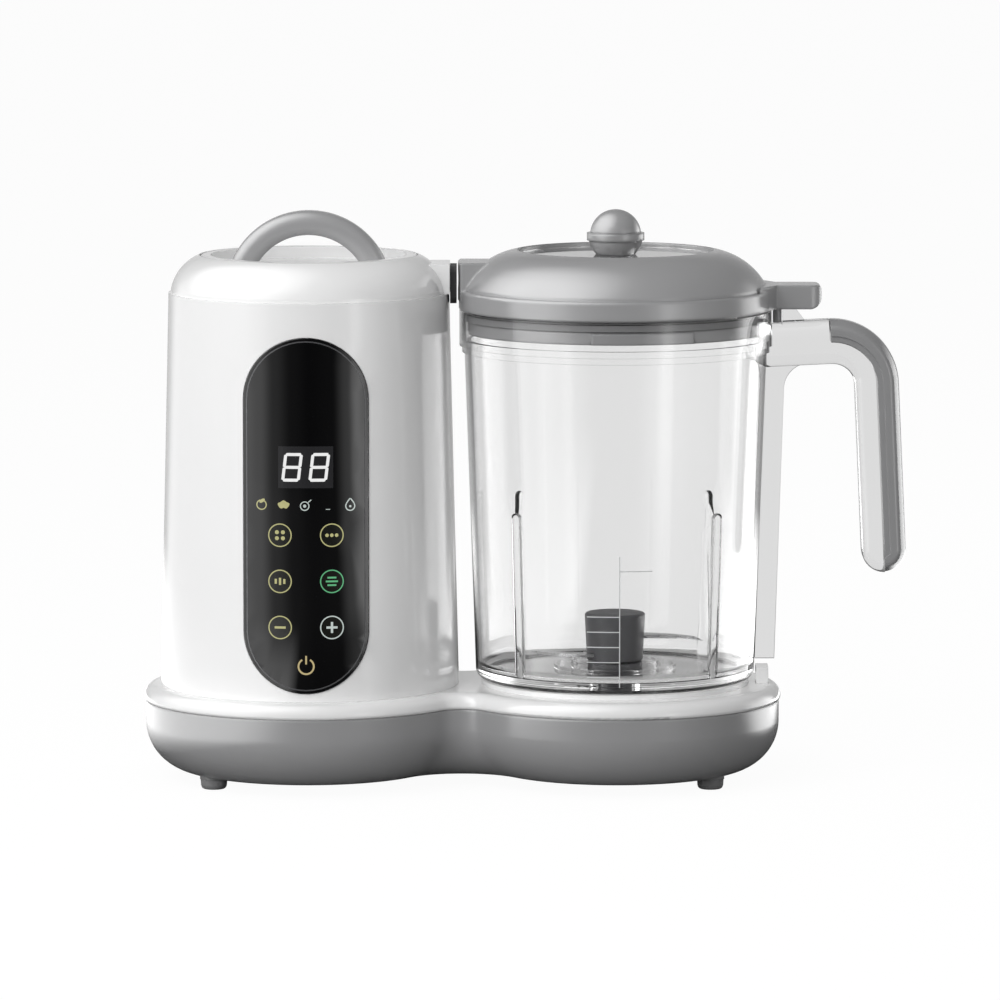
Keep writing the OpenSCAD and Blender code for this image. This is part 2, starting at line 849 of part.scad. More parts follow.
module top_cover() {
  color("whitesmoke")
    on_tower()
      difference() {
        union() {
          rotate_extrude() {
            intersection() {
              difference() {
                dome_disc(0);
                dome_disc(dome_wall);
              }
              translate([tank_open_r, dome_foot_z]) square([tower_top_r, dome_h]);
            }
            intersection() {
              dome_disc(0);
              translate([tank_open_r, neck_z]) square([neck_t, dome_h]);
            }
            translate([spigot_r - spigot_t, tower_top_z])
              square([dome_foot.x - spigot_r + spigot_t, dome_ledge_h]);
            translate([spigot_r - spigot_t, tower_top_z - spigot_h]) square([spigot_t, spigot_h + over]);
          }
          translate([link_back_x, -link_w / 2, tower_top_z])
            cube([link_face_x - link_back_x, link_w, steam_z + link_h / 2 - link_cap - tower_top_z]);
        }
        translate([pipe_x, 0, tower_top_z - spigot_h - over])
          cylinder(r = pipe_r + fit_gap, h = spigot_h + over + pipe_socket);
        translate([pipe_x, 0, tower_top_z]) cylinder(r = steam_r, h = steam_z - tower_top_z);
        translate([pipe_x - steam_r, 0, steam_z])
          rotate([0, 90, 0]) cylinder(r = link_port_r, h = link_face_x);
        rod(boiler_r + boiler_rim_w + move_gap, boiler_rim_z - boiler_rim_w, neck_z);
      }
}

module steam_gasket() {
  rim = 1.5;
  color("black")
    on_tower()
      translate([link_face_x + fit_gap, 0, steam_z - 2])
        rotate([0, 90, 0])
          difference() {
            linear_extrude(link_gasket_t)
              difference() {
                square([link_h - 2, link_w - 3], center = true);
                for (a = [-1, 1], b = [-1, 1])
                  scale([a, b]) translate([-(link_h - 2) / 2, -(link_w - 3) / 2]) corner_cut(3);
              }
            translate([-2, 0, -over]) cylinder(r = link_port_r, h = link_gasket_t + 2 * over);
            translate([-2, 0, link_gasket_t - rim / 2]) cylinder(r = link_port_r + rim, h = rim);
          }
}

// Boiler and steam way

module boiler_cup() {
  color("silver")
    on_tower()
      difference() {
        union() {
          rod(boiler_r, boiler_z, boiler_rim_z);
          rod(boiler_r + boiler_rim_w, boiler_rim_z - boiler_wall, boiler_rim_z);
        }
        rod(boiler_in_r, boiler_z + boiler_wall, boiler_rim_z + over);
        translate([boiler_in_r - 3, 0, pipe_low_z]) rotate([0, 90, 0]) cylinder(r = steam_r, h = 8);
      }
}

module boiler_gasket() {
  color("gainsboro")
    on_tower() ring(boiler_in_r + 1, boiler_r + boiler_rim_w, boiler_rim_z, seal_t);
}

module heating_plate() {
  color("lightgray")
    on_tower() {
      rod(boiler_r - heater_inset, boiler_z - heater_t / 2, boiler_z);
      translate([0, 0, boiler_z - heater_t / 2])
        rotate_extrude(angle = heater_sweep)
          translate([boiler_r - heater_ring_inset, 0]) circle(heater_t / 2);
    }
}

module thermostat() {
  top_z = boiler_z - heater_t / 2;
  tab_z = top_z - thermostat_h - thermostat_tab.z + over;
  color("dimgray")
    on_tower()
      rotate([0, 0, (heater_sweep - 360) / 2]) translate([thermostat_x, 0, 0]) {
        rod(thermostat_r, top_z - thermostat_h, top_z);
        for (side = [-1, 1])
          translate([side * thermostat_tab_x - thermostat_tab.x / 2, -thermostat_tab.y / 2, tab_z])
            cube(thermostat_tab);
      }
}

// A half profile ring for a tube of the steam pipe
module pipe_ring() {
  difference() {
    circle(pipe_r);
    circle(steam_r);
  }
}

module steam_pipe() {
  bend = pipe_x - boiler_r - fit_gap;
  color("mistyrose")
    on_tower() {
      translate([pipe_x, 0, pipe_low_z + bend])
        linear_extrude(tower_top_z + pipe_socket - 0.5 - pipe_low_z - bend) pipe_ring();
      translate([pipe_x - bend, 0, pipe_low_z + bend])
        rotate([90, 0, 0]) rotate([0, 0, -90])
          rotate_extrude(angle = 90) translate([bend, 0]) pipe_ring();
    }
}

// Tank cap

module cap_gasket() {
  ring_z = cap_z - plug_depth / 2;
  color("gainsboro")
    on_tower()
      ring(plug_r - ring_groove_d + move_gap / 2, boiler_in_r - move_gap * 0.75,
        ring_z + move_gap / 2, ring_groove_h - move_gap);
}

module tank_cap() {
  color("whitesmoke")
    on_tower()
      difference() {
        rotate_extrude() {
          difference() {
            translate([0, cap_z]) square([cap_r, dome_top_z - cap_z]);
            translate([-over, cap_floor_z]) square([cap_dish_r + over, dome_top_z]);
            translate([cap_r, dome_top_z]) mirror([1, 0]) mirror([0, 1]) corner_cut(1.2);
            translate([-over, cap_z - over])
              square([cap_dish_r - 3, cap_floor_z - cap_floor_t - cap_z + over]);
          }
          difference() {
            translate([plug_r - plug_t, cap_z - plug_depth]) square([plug_t, plug_depth + over]);
            translate([plug_r - ring_groove_d, cap_z - plug_depth / 2])
              square([ring_groove_d + over, ring_groove_h]);
          }
        }
        for (side = [-1, 1])
          translate([side * arch_screw_x, 0, cap_floor_z - cap_floor_t]) screw_hole(cap_floor_t, over);
      }
}

// Section of the arch handle, rounded all round
module arch_section() {
  difference() {
    square([arch_t, arch_w], center = true);
    for (a = [-1, 1], b = [-1, 1])
      scale([a, b]) translate([-arch_t / 2, -arch_w / 2]) corner_cut(arch_t * 0.45);
  }
}

module arch_handle() {
  sweep = 75;
  color("gray")
    on_tower()
      difference() {
        intersection() {
          translate([0, 0, arch_z])
            rotate([90, 0, 0]) rotate([0, 0, 90 - sweep])
              rotate_extrude(angle = 2 * sweep) translate([arch_r, 0]) arch_section();
          translate([-arch_r * 2, -arch_w, cap_floor_z]) cube([arch_r * 4, arch_w * 2, arch_r * 2]);
        }
        for (side = [-1, 1])
          translate([side * arch_screw_x, 0, 0])
            rod(screw_r + fit_gap, cap_floor_z - over, cap_floor_z + screw_grip + over);
      }
}

module cap_screws() {
  color("silver")
    on_tower()
      for (side = [-1, 1])
        translate([side * arch_screw_x, 0, cap_floor_z - cap_floor_t]) screw(cap_floor_t + screw_grip);
}

// Motor and belt

module motor_can() {
  color("silver")
    on_tower()
      difference() {
        rod(motor_r, motor_z, motor_z + motor_h);
        rod(motor_r - motor_wall, motor_z + 2 * motor_wall, motor_z + motor_h - 2 * motor_wall);
        rod(motor_shaft_r + run_gap, motor_z - over, motor_z + motor_h + over);
      }
}

module motor_bracket() {
  color("lightsteelblue")
    difference() {
      on_tower()
        difference() {
          rod(motor_plate_r, deck_z, motor_z);
          rod(motor_shaft_r + 4, deck_z - over, motor_z + over);
        }
      at_motor_screws() rod(screw_r + fit_gap, deck_z - over, motor_z + over);
    }
}

module motor_screws() {
  color("silver")
    at_motor_screws() translate([0, 0, motor_z]) mirror([0, 0, 1])
      screw(motor_plate_t + base_wall + motor_boss_h - 1);
}

module motor_armature() {
  core_z = motor_z + 4 * motor_wall;
  core_h = motor_h - 8 * motor_wall;
  color("peru")
    on_tower()
      difference() {
        union() {
          rod(motor_r - motor_wall - 4, core_z, core_z + core_h - commutator_h);
          rod(motor_r / 2.5, core_z + core_h - commutator_h, core_z + core_h);
        }
        rod(motor_shaft_r + fit_gap, core_z - over, core_z + core_h + over);
      }
}

module motor_shaft() {
  color("silver")
    on_tower() rod(motor_shaft_r, pulley_z, motor_z + motor_h + 2);
}

// A belt pulley with a lane between two flanges, bored for its shaft
module pulley(lane_r, shaft_r) {
  rotate_extrude()
    difference() {
      translate([0, pulley_z]) square([lane_r + flange_h, pulley_h]);
      translate([lane_r, lane_z]) square([flange_h + over, lane_h]);
      translate([-over, pulley_z - over]) square([shaft_r + fit_gap + over, pulley_h + 2 * over]);
    }
}

module motor_pulley() color("gray") on_tower() pulley(motor_pulley_r, motor_shaft_r);

module driven_pulley() color("gray") on_jar() pulley(driven_pulley_r, drive_shaft_r);

// The belt's outline round both pulleys, at a distance from their lanes
module belt_loop(grow) {
  hull() {
    on_tower() circle(motor_pulley_r + grow);
    on_jar() circle(driven_pulley_r + grow);
  }
}

module drive_belt() {
  color("black")
    translate([0, 0, lane_z + move_gap])
      linear_extrude(belt_w)
        difference() {
          belt_loop(move_gap + belt_t);
          belt_loop(move_gap);
        }
}

module drive_bearings() {
  color("silver")
    on_jar()
      for (z = [bearing_boss_z + 0.2, well_z - bearing_h - 0.2])
        ring(drive_shaft_r + run_gap, bearing_r, z, bearing_h);
}

module drive_shaft() {
  color("silver")
    on_jar() rod(drive_shaft_r, pulley_z, drive_z + drive_coupling_h - 1);
}

// A six-toothed coupling, grown all round
module coupling_star(grow) {
  circle(coupling_r * 0.72 + grow);
  for (turn = [0:60:120])
    rotate(turn) square([2 * (coupling_r + grow), coupling_r * 0.4 + 2 * grow], center = true);
}

module drive_coupling() {
  color("dimgray")
    on_jar()
      difference() {
        translate([0, 0, drive_z]) linear_extrude(drive_coupling_h) coupling_star(0);
        rod(drive_shaft_r + fit_gap, drive_z - over, drive_z + drive_coupling_h - 1 + fit_gap);
      }
}

// Jar

// Half profile of the jar's outside, grown by an offset
module jar_outside(grow) {
  foot_r = jar_r(jar_z + jar_round) + grow;
  translate([0, jar_z - grow]) square([foot_r - jar_round, jar_round + grow]);
  translate([foot_r - jar_round, jar_z + jar_round]) circle(jar_round);
  polygon([
    [0, jar_z + jar_round], [foot_r, jar_z + jar_round],
    [jar_top_r + grow, bead_z], [jar_top_r + grow, collar_z], [0, collar_z]
  ]);
  translate([0, bead_z - grow]) square([bead_r + grow, bead_h + grow]);
  translate([0, collar_z - grow]) square([collar_r + grow, collar_h + grow]);
}

// Half profile of the jar's inside
module jar_inside() {
  low_r = jar_r(jar_floor_z) - jar_wall;
  difference() {
    polygon([
      [0, jar_floor_z], [low_r, jar_floor_z], [jar_top_r - jar_wall, bead_z],
      [jar_top_r - jar_wall, collar_z + jar_wall], [0, collar_z + jar_wall]
    ]);
    translate([low_r, jar_floor_z]) mirror([1, 0]) corner_cut(jar_round);
  }
  translate([0, collar_z + jar_wall]) square([collar_in_r, collar_h]);
}

module jar_body() {
  lean = atan2(jar_top_r - jar_base_r, bead_z - jar_z);
  rib_in = 0.6;
  color("lightcyan", 0.4)
    on_jar()
      difference() {
        union() {
          rotate_extrude()
            difference() {
              jar_outside(0);
              jar_inside();
              translate([-over, jar_z - over]) square([jar_base_r - jar_foot_w + over, jar_kick + over]);
            }
          for (floor_ring = floor_rings)
            ring(floor_ring[0] - floor_ring_t, floor_ring[0], jar_floor_z - over, over + floor_ring[1]);
          for (turn = [45:90:315])
            rotate([0, 0, turn])
              translate([jar_r(jar_floor_z) - jar_wall - rib_in, 0, jar_floor_z - over])
                rotate([0, lean, 0]) {
                  cylinder(r = rib_w / 2, h = rib_h + over);
                  translate([0, 0, rib_h + over]) sphere(rib_w / 2);
                }
        }
        rod(bush_r + fit_gap, jar_z, bush_top_z);
      }
}

// Half of the handle's section: r runs from the split outwards, rounded at its outer corners
module half_section(round_r, split) {
  difference() {
    translate([split, -handle_w / 2]) square([handle_t / 2 - split, handle_w]);
    for (side = [0, 1])
      mirror([0, side])
        translate([handle_t / 2, -handle_w / 2]) mirror([1, 0]) corner_cut(round_r);
  }
}

// Frame of the handle's bend: X runs outwards from the bend centre, Z across the handle
module bend_frame() {
  translate([jar_x + bend_x, 0, bend_z]) rotate([90, 0, 0]) rotate([0, 0, leg_lean]) children();
}

module jar_handle() {
  color("lightcyan", 0.4)
    difference() {
      union() {
        bend_frame() {
          rotate_extrude(angle = 90)
            translate([handle_mid, 0]) mirror([1, 0]) half_section(core_round, 0);
          rotate([90, 0, 0])
            linear_extrude(leg_len)
              translate([handle_mid, 0]) mirror([1, 0]) half_section(core_round, 0);
          translate([handle_mid, -leg_len, 0])
            rotate([0, 0, 180]) rotate_extrude(angle = 90) half_section(core_round, 0);
          translate([-bracket_len, handle_mid, 0])
            rotate([90, 0, 90])
              linear_extrude(bracket_len) {
                half_section(cover_round, 0);
                mirror([1, 0]) half_section(core_round, 0);
              }
        }
        on_jar() fin();
      }
      on_jar() {
        rotate_extrude() jar_outside(fit_gap);
        rotate_extrude()
          translate([peg_x - peg_r - move_gap, bracket_top_z - peg_groove])
            square([2 * (peg_r + move_gap), handle_t]);
      }
    }
}

// The clear fin from the jar's foot up to its collar
module fin() {
  fin_z = deck_z + fin_lift;
  under_z = bend_z + bend_inner_r;
  top_z = tab_z - move_gap;
  rotate([90, 0, 0])
    linear_extrude(fin_t, center = true) {
      difference() {
        polygon([
          [jar_base_r / 2, fin_z], [fin_foot_x, fin_z], [fin_top_x, under_z - fin_fillet],
          [fin_top_x + fin_fillet, under_z - fin_fillet], [fin_top_x + fin_fillet, under_z + over],
          [jar_base_r / 2, under_z + over]
        ]);
        translate([fin_top_x + fin_fillet, under_z - fin_fillet]) circle(fin_fillet);
      }
      polygon([
        [peg_x, bracket_top_z - peg_groove], [peg_x, top_z],
        [collar_r + fin_cap, top_z], [collar_r + fin_slope, bracket_top_z - peg_groove]
      ]);
    }
}

module handle_cover() {
  color("gray")
    bend_frame() {
      rotate_extrude(angle = 90 - 0.4)
        translate([handle_mid, 0]) half_section(cover_round, cover_gap);
      rotate([90, 0, 0])
        linear_extrude(leg_len)
          translate([handle_mid, 0]) half_section(cover_round, cover_gap);
      translate([handle_mid, -leg_len, 0])
        rotate([0, 0, -90]) rotate_extrude(angle = 90) half_section(cover_round, cover_gap);
    }
}

module blade_bush() {
  color("dimgray")
    on_jar()
      difference() {
        union() {
          rod(bush_r, nut_z - 0.2, bush_top_z);
          rod(bush_flange_r, jar_floor_z, jar_floor_z + bush_flange_h);
        }
        rod(spindle_r + run_gap, nut_z - over, bush_top_z + over);
      }
}

module bush_nut() {
  color("darkgray")
    on_jar()
      difference() {
        translate([0, 0, nut_z]) cylinder(r = bush_flange_r + 1, h = nut_h, $fn = 6);
        rod(bush_r + fit_gap, nut_z - over, nut_z + nut_h + over);
      }
}

// Blades

module blade_spindle() {
  color("silver")
    on_jar() rod(spindle_r, coupling_web_z + move_gap, hub_z + hub_h - hub_cap);
}

// A sickle blade along +X: between two arcs, from inside the hub to its tip
module blade_outline(grow) {
  root = hub_r * 0.7;
  back = [blade_reach * 0.23, -blade_reach * 0.63];
  edge = [blade_reach * 0.4, -blade_reach * 0.97];
  intersection() {
    difference() {
      translate(back) circle(blade_reach * 0.86 + grow);
      translate(edge) circle(blade_reach * 0.94 - grow);
    }
    translate([root - grow, -blade_reach]) square(2 * blade_reach);
  }
}

// A blade with its cutting edge ground to a bevel, from its own underside up
module blade() {
  edge = [blade_reach * 0.4, -blade_reach * 0.97];
  edge_r = blade_reach * 0.94;
  grind = 2.4;
  difference() {
    linear_extrude(blade_t) blade_outline(0);
    difference() {
      translate([edge.x, edge.y, blade_t * 0.2])
        cylinder(r1 = edge_r, r2 = edge_r + grind, h = blade_t);
      rod(hub_r + 0.5, -over, blade_t + 2 * over);
    }
  }
}

module blade_hub() {
  color("dimgray")
    on_jar()
      difference() {
        rotate_extrude()
          difference() {
            polygon([[0, hub_z], [hub_r - 1, hub_z], [hub_r, hub_z + hub_h], [0, hub_z + hub_h]]);
            translate([hub_r, hub_z + hub_h]) mirror([1, 0]) mirror([0, 1]) corner_cut(1.2);
            translate([-over, hub_z - over]) square([bush_r + 1 + over, bush_top_z - hub_z + 1 + over]);
          }
        rod(spindle_r + fit_gap, hub_z, hub_z + hub_h - hub_cap + fit_gap);
        translate([0, 0, upper_blade_z - fit_gap])
          linear_extrude(blade_t + 2 * fit_gap) blade_outline(fit_gap);
        rotate([0, 0, 180]) translate([0, 0, lower_blade_z - fit_gap])
          linear_extrude(blade_t + 2 * fit_gap) blade_outline(fit_gap);
      }
}

module lower_blade() {
  color("silver")
    on_jar() rotate([0, 0, 180]) translate([0, 0, lower_blade_z]) blade();
}

module upper_blade() color("silver") on_jar() translate([0, 0, upper_blade_z]) blade();

module jar_coupling() {
  cup_r = coupling_r + 4.5;
  color("dimgray")
    on_jar()
      difference() {
        rod(cup_r, drive_z + 1, jar_coupling_top_z);
        translate([0, 0, drive_z]) linear_extrude(coupling_web_z - drive_z) coupling_star(move_gap);
        rod(spindle_r + fit_gap, coupling_web_z, jar_coupling_top_z + over);
      }
}

// Lid

module lid_disc(inset) translate(lid_center) circle(lid_bulge_r - inset);

// Half profile of the lid's outside, filled down to its rim
module lid_outside() {
  difference() {
    translate([0, lid_z]) square([lid_r, lid_rim_h]);
    translate([lid_r, lid_rim_top_z]) mirror([1, 0]) mirror([0, 1]) corner_cut(1);
    translate([lid_r, lid_z]) mirror([1, 0]) corner_cut(0.8);
  }
  translate([0, lid_rim_top_z - over])
    square([lid_dome_foot_r, over + lid_dome_foot_z - lid_rim_top_z]);
  intersection() {
    lid_disc(0);
    translate([window_r, lid_dome_foot_z]) square([lid_r, lid_dome_h]);
  }
  translate([0, lid_dome_foot_z]) square([window_r, lid_top_z - lid_dome_foot_z]);
}

// Half profile of the hollow under the lid
module lid_inside() {
  hollow_r = skirt_r - skirt_t;
  translate([0, lid_z - over]) square([hollow_r, over + lid_dome_foot_z - lid_z]);
  intersection() {
    lid_disc(lid_wall);
    translate([window_r - window_ledge, lid_dome_foot_z - over])
      square([hollow_r - window_r + window_ledge, window_z - window_ledge - lid_dome_foot_z + over]);
  }
  translate([0, lid_dome_foot_z - over])
    square([window_r - window_ledge, window_z + window_t - lid_dome_foot_z + over]);
}

module lid_gasket() {
  color("gray")
    on_jar()
      ring(skirt_r - ring_groove_d + move_gap / 2, collar_in_r - move_gap * 0.75,
        skirt_z + groove_lift + move_gap / 2, ring_groove_h - move_gap);
}

// The thumb tab in side view, swept across and trimmed in plan
module lid_tab() {
  root = lid_r - 6;
  neck = lid_r + 1.5;
  intersection() {
    rotate([90, 0, 0])
      linear_extrude(tab_w + 2 * tab_flare, center = true)
        difference() {
          translate([root, tab_z]) square([tab_reach - root, tab_t]);
          translate([tab_reach, tab_z]) mirror([1, 0]) corner_cut(tab_t * 0.5);
          translate([tab_reach, tab_z + tab_t]) mirror([1, 0]) mirror([0, 1]) corner_cut(tab_t * 0.22);
        }
    translate([0, 0, tab_z - over])
      linear_extrude(tab_t + 2 * over)
        difference() {
          polygon([
            [root, -tab_w / 2 - tab_flare], [neck, -tab_w / 2], [tab_reach, -tab_w / 2],
            [tab_reach, tab_w / 2], [neck, tab_w / 2], [root, tab_w / 2 + tab_flare]
          ]);
          for (side = [0, 1])
            mirror([0, side]) translate([tab_reach, -tab_w / 2]) mirror([1, 0]) corner_cut(5);
        }
  }
  translate([peg_x, 0, 0]) rod(peg_r, bracket_top_z - peg_depth, tab_z + over);
}

module lid_shell() {
  color("gray")
    on_jar()
      difference() {
        union() {
          rotate_extrude() {
            lid_outside();
            difference() {
              translate([skirt_r - skirt_t, skirt_z]) square([skirt_t, skirt_h + over]);
              translate([skirt_r - ring_groove_d, skirt_z + groove_lift])
                square([ring_groove_d + over, ring_groove_h]);
            }
          }
          for (turn = [-100:120:140])
            rotate([0, 0, turn])
              rotate_extrude(angle = 40)
                translate([skirt_r - over, skirt_z]) square([over + lug_t, lug_h]);
          intersection() {
            translate([-inlet_r - over, -link_w / 2, steam_z - link_h / 2])
              cube([inlet_r, link_w, link_h - 1.5]);
            rod(inlet_r, lid_z, lid_top_z);
          }
          lid_tab();
        }
        rotate_extrude() lid_inside();
        rod(window_r, window_z, lid_top_z + over);
        translate([0, 0, steam_z]) rotate([0, -90, 0]) cylinder(r = link_port_r, h = inlet_r + over);
        rotate_extrude()
          translate([skirt_r + lug_t + 0.1, jar_rim_z - 10])
            square([collar_r + move_gap - skirt_r - lug_t - 0.1, 10 + move_gap]);
      }
}

module lid_window() {
  color("lightcyan", 0.4)
    on_jar()
      difference() {
        rod(window_r - fit_gap, window_z + fit_gap, window_top_z);
        rod(screw_r + fit_gap, window_z - over, window_top_z + over);
      }
}

module knob_base() {
  color("gray")
    on_jar()
      difference() {
        rotate_extrude() {
          intersection() {
            translate([0, knob_flange_z + knob_bowl_rise]) circle(knob_flange_r - 0.6);
            translate([0, knob_z]) square([knob_flange_r, knob_bowl_h + over]);
          }
          translate([0, knob_flange_z]) square([knob_flange_r, knob_flange_h]);
        }
        rod(screw_r + fit_gap, knob_z - over, knob_flange_z);
      }
}

module knob_ball() {
  color("gray")
    on_jar()
      intersection() {
        translate([0, 0, knob_ball_z]) sphere(knob_r);
        translate([0, 0, knob_flange_z + knob_flange_h]) cylinder(r = knob_r * 2, h = knob_r * 2);
      }
}

module knob_screw() {
  color("silver")
    on_jar() translate([0, 0, window_z + fit_gap]) screw(window_t + knob_bowl_h - 1.5);
}

base_pan();
base_deck();
rubber_feet();
base_screws();
jar_key_post();
jar_switch();
cord_gland();
tower_shell();
tower_screws();
top_cover();
panel_lens();
control_board();
display_module();
power_board();
boiler_cup();
boiler_gasket();
heating_plate();
thermostat();
steam_pipe();
steam_gasket();
motor_can();
motor_bracket();
motor_screws();
drive_belt();
drive_bearings();
motor_armature();
motor_shaft();
motor_pulley();
drive_shaft();
driven_pulley();
drive_coupling();
cap_gasket();
tank_cap();
arch_handle();
cap_screws();
jar_body();
jar_handle();
handle_cover();
blade_bush();
bush_nut();
blade_spindle();
blade_hub();
lower_blade();
upper_blade();
jar_coupling();
lid_gasket();
lid_shell();
lid_window();
knob_base();
knob_ball();
knob_screw();
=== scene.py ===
"""Looks of a steam-and-blend baby food processor, laid out as a Blender add-on and run as a script."""

import json
import math

import bmesh
import bpy
from bpy.props import FloatProperty, FloatVectorProperty, PointerProperty
from mathutils import Matrix, Vector
from mathutils.bvhtree import BVHTree


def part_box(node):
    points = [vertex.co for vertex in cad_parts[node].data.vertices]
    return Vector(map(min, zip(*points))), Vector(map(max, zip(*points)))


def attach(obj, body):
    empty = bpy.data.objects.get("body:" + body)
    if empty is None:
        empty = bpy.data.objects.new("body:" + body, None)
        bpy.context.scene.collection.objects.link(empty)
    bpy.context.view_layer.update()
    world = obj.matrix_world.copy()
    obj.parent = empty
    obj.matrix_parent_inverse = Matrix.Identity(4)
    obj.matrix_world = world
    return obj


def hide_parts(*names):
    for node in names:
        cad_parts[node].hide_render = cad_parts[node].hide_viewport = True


bl_info = {
    "name": "Baby food processor",
    "version": (1, 0, 0),
    "blender": (4, 5, 0),
    "location": "View3D > Sidebar > Food maker",
    "description": "Dresses the packed frame of a steam-and-blend baby food processor",
    "category": "Object",
}

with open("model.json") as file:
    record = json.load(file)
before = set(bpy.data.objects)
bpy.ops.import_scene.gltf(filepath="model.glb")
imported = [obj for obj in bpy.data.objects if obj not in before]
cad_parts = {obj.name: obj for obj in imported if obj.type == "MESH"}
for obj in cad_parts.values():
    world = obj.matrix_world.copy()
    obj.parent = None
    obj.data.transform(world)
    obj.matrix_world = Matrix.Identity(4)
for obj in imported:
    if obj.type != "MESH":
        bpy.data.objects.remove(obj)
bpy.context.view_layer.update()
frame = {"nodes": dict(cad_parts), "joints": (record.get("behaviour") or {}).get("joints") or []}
NODES = frame["nodes"]
MM = 0.001

# Where nearly all the values of a noise lie
NOISE_SPAN = (0.3, 0.7)

# Sockets of a Mix node that mixes colours
MIX_A = 6
MIX_B = 7
MIX_RESULT = 2

WHITE = (1.0, 1.0, 1.0, 1.0)

# Lamps: degrees round from the front, where the left is negative, degrees up, and width and height in metres
LAMPS = {
    "key": (-30, 27, 1.5, 1.7),
    "fill": (78, 12, 0.6, 1.5),
    "rim": (126, 14, 0.35, 1.4),
    "top": (-60, 58, 1.2, 1.2),
}
LAMP_DISTANCE = 1.7
LAMP_AIM = Vector((0, 0, 0.11))

# Brightness of the studio in reflections, by degrees round as the lamps have: a wide white screen at the
# left, a narrow one at the front right, a strong strip behind the right and dark cloth behind the camera
STUDIO_RING = (
    (-180, 0.7), (-165, 0.5), (-150, 0.6), (-132, 1.9), (-105, 2.2), (-75, 2.4), (-55, 2.5), (-40, 1.6),
    (-28, 0.5), (-14, 0.1), (0, 0.03), (18, 0.06), (30, 0.9), (38, 3.0), (48, 1.4), (64, 0.7), (98, 0.5),
    (112, 3.4), (134, 4.2), (147, 0.6), (165, 0.5), (180, 0.7),
)
RING_PEAK = 5.0

# Share of straight up over which the ring fades into the plain room
RING_FADE = (0.1, 0.45)

# Where the high screen hangs in reflections, up at the left, and how close to it its soft edge starts
# and ends
HIGH_SCREEN = (-0.72, -0.16, 0.67)
SCREEN_EDGE = (0.58, 0.94)

# White sheets on the floor in reflections, at the left and behind the right: their brightness, the places of
# their soft edges, and the distance over which they give way to the ring, in metres
LEFT_SHEET = 3.5
LEFT_EDGE = (-0.24, -0.16)
RIGHT_SHEET = 4.2
RIGHT_EDGE = (0.17, 0.21)
BACK_EDGE = (0.0, 0.05)
SHEETS_END = (0.4, 0.9)

# Brightness seen through clear plastic, to the sides and straight behind, and the share of straight behind
# over which it changes
CLEAR_VIEW = (0.52, 1.0)
CLEAR_TURN = (0.5, 0.85)

# The floor's radius in metres, its glow and its share of shadow where it is seen, and the light it gives back
FLOOR_R = 14.0
FLOOR_GLOW = 0.955
FLOOR_SHADE = 0.06
FLOOR_BOUNCE = 0.4

# What a lit print is like when it is off
UNLIT = (0.006, 0.006, 0.006, 1.0)

# Tint that keeps the clear plastic's reflections faint
SOFT_GLINT = (0.5, 0.5, 0.5, 1.0)

# Thickness of a print, and the width of the slices that let it bend, in millimetres
PRINT_THICK = 0.05
PRINT_SLICE = 1.5

# Sides of a round patch, of a full ring and of the floor
DISC_SIDES = 24
RING_SIDES = 48
FLOOR_SIDES = 96

# Shares of a node's height where the radius of its front is measured
FRONT_SHARES = (0.35, 0.65)

# The filling scale's ticks: how many point left, and the step at which one points right
LEFT_TICKS = 5
RIGHT_TICK = 7

# How far the camera sees, in metres: past the floor's far edge
CAMERA_REACH = 50.0


def joint_x(name):
    """Place along X of a joint's upright axis."""
    return next(j["pos_m"][0] for j in frame["joints"] if j["name"] == name)


TOWER_X = joint_x("motor_spin")
JAR_X = joint_x("blade_spin")
PANEL_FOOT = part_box("panel_lens")[0].z


def linear(hex_colour):
    """Linear RGB of an sRGB hex colour."""
    channels = [int(hex_colour[i:i + 2], 16) / 255 for i in (1, 3, 5)]
    return tuple(c / 12.92 if c <= 0.04045 else ((c + 0.055) / 1.055) ** 2.4 for c in channels)


def colour(label, hex_colour):
    """A colour property whose default is an sRGB hex value."""
    return FloatVectorProperty(
        name=label, description=f"Colour of the {label.lower()}", subtype="COLOR", size=3,
        min=0.0, max=1.0, default=linear(hex_colour),
    )


def length(label, text, millimetres):
    """A length property whose default is given in millimetres."""
    return FloatProperty(
        name=label, description=text, subtype="DISTANCE", unit="LENGTH", default=millimetres * MM,
    )


def angle(label, text, degrees):
    """An angle property whose default is given in degrees."""
    return FloatProperty(name=label, description=text, subtype="ANGLE", default=math.radians(degrees))


def power(label, text, watts):
    """A lamp's power property, in watts."""
    return FloatProperty(name=label, description=text, unit="POWER", min=0.0, default=watts)


class FoodMakerView(bpy.types.PropertyGroup):
    """Where the camera stands."""

    distance: length("Distance", "From the camera to the aim", 3000)
    lens: FloatProperty(name="Lens", description="Focal length", subtype="DISTANCE_CAMERA", default=267.0)
    elevation: angle("Elevation", "Angle of the view below the horizon", 6.6)
    aim_x: length("Aim across", "Place along X of the picture's middle", -10)
    aim_z: length("Aim height", "Height of the picture's middle", 113.3)


class FoodMakerLight(bpy.types.PropertyGroup):
    """How the studio lights the object."""

    key: power("Key", "Power of the left softbox", 20.5)
    fill: power("Fill", "Power of the right strip", 1.2)
    rim: power("Rim", "Power of the strip behind the jar", 5.0)
    top: power("Top", "Power of the high softbox", 5.0)
    ambient: FloatProperty(name="Ambient", description="Light from all round", default=0.27)
    screen: FloatProperty(
        name="Screen", description="Brightness of the high screen in reflections", default=5.0,
    )


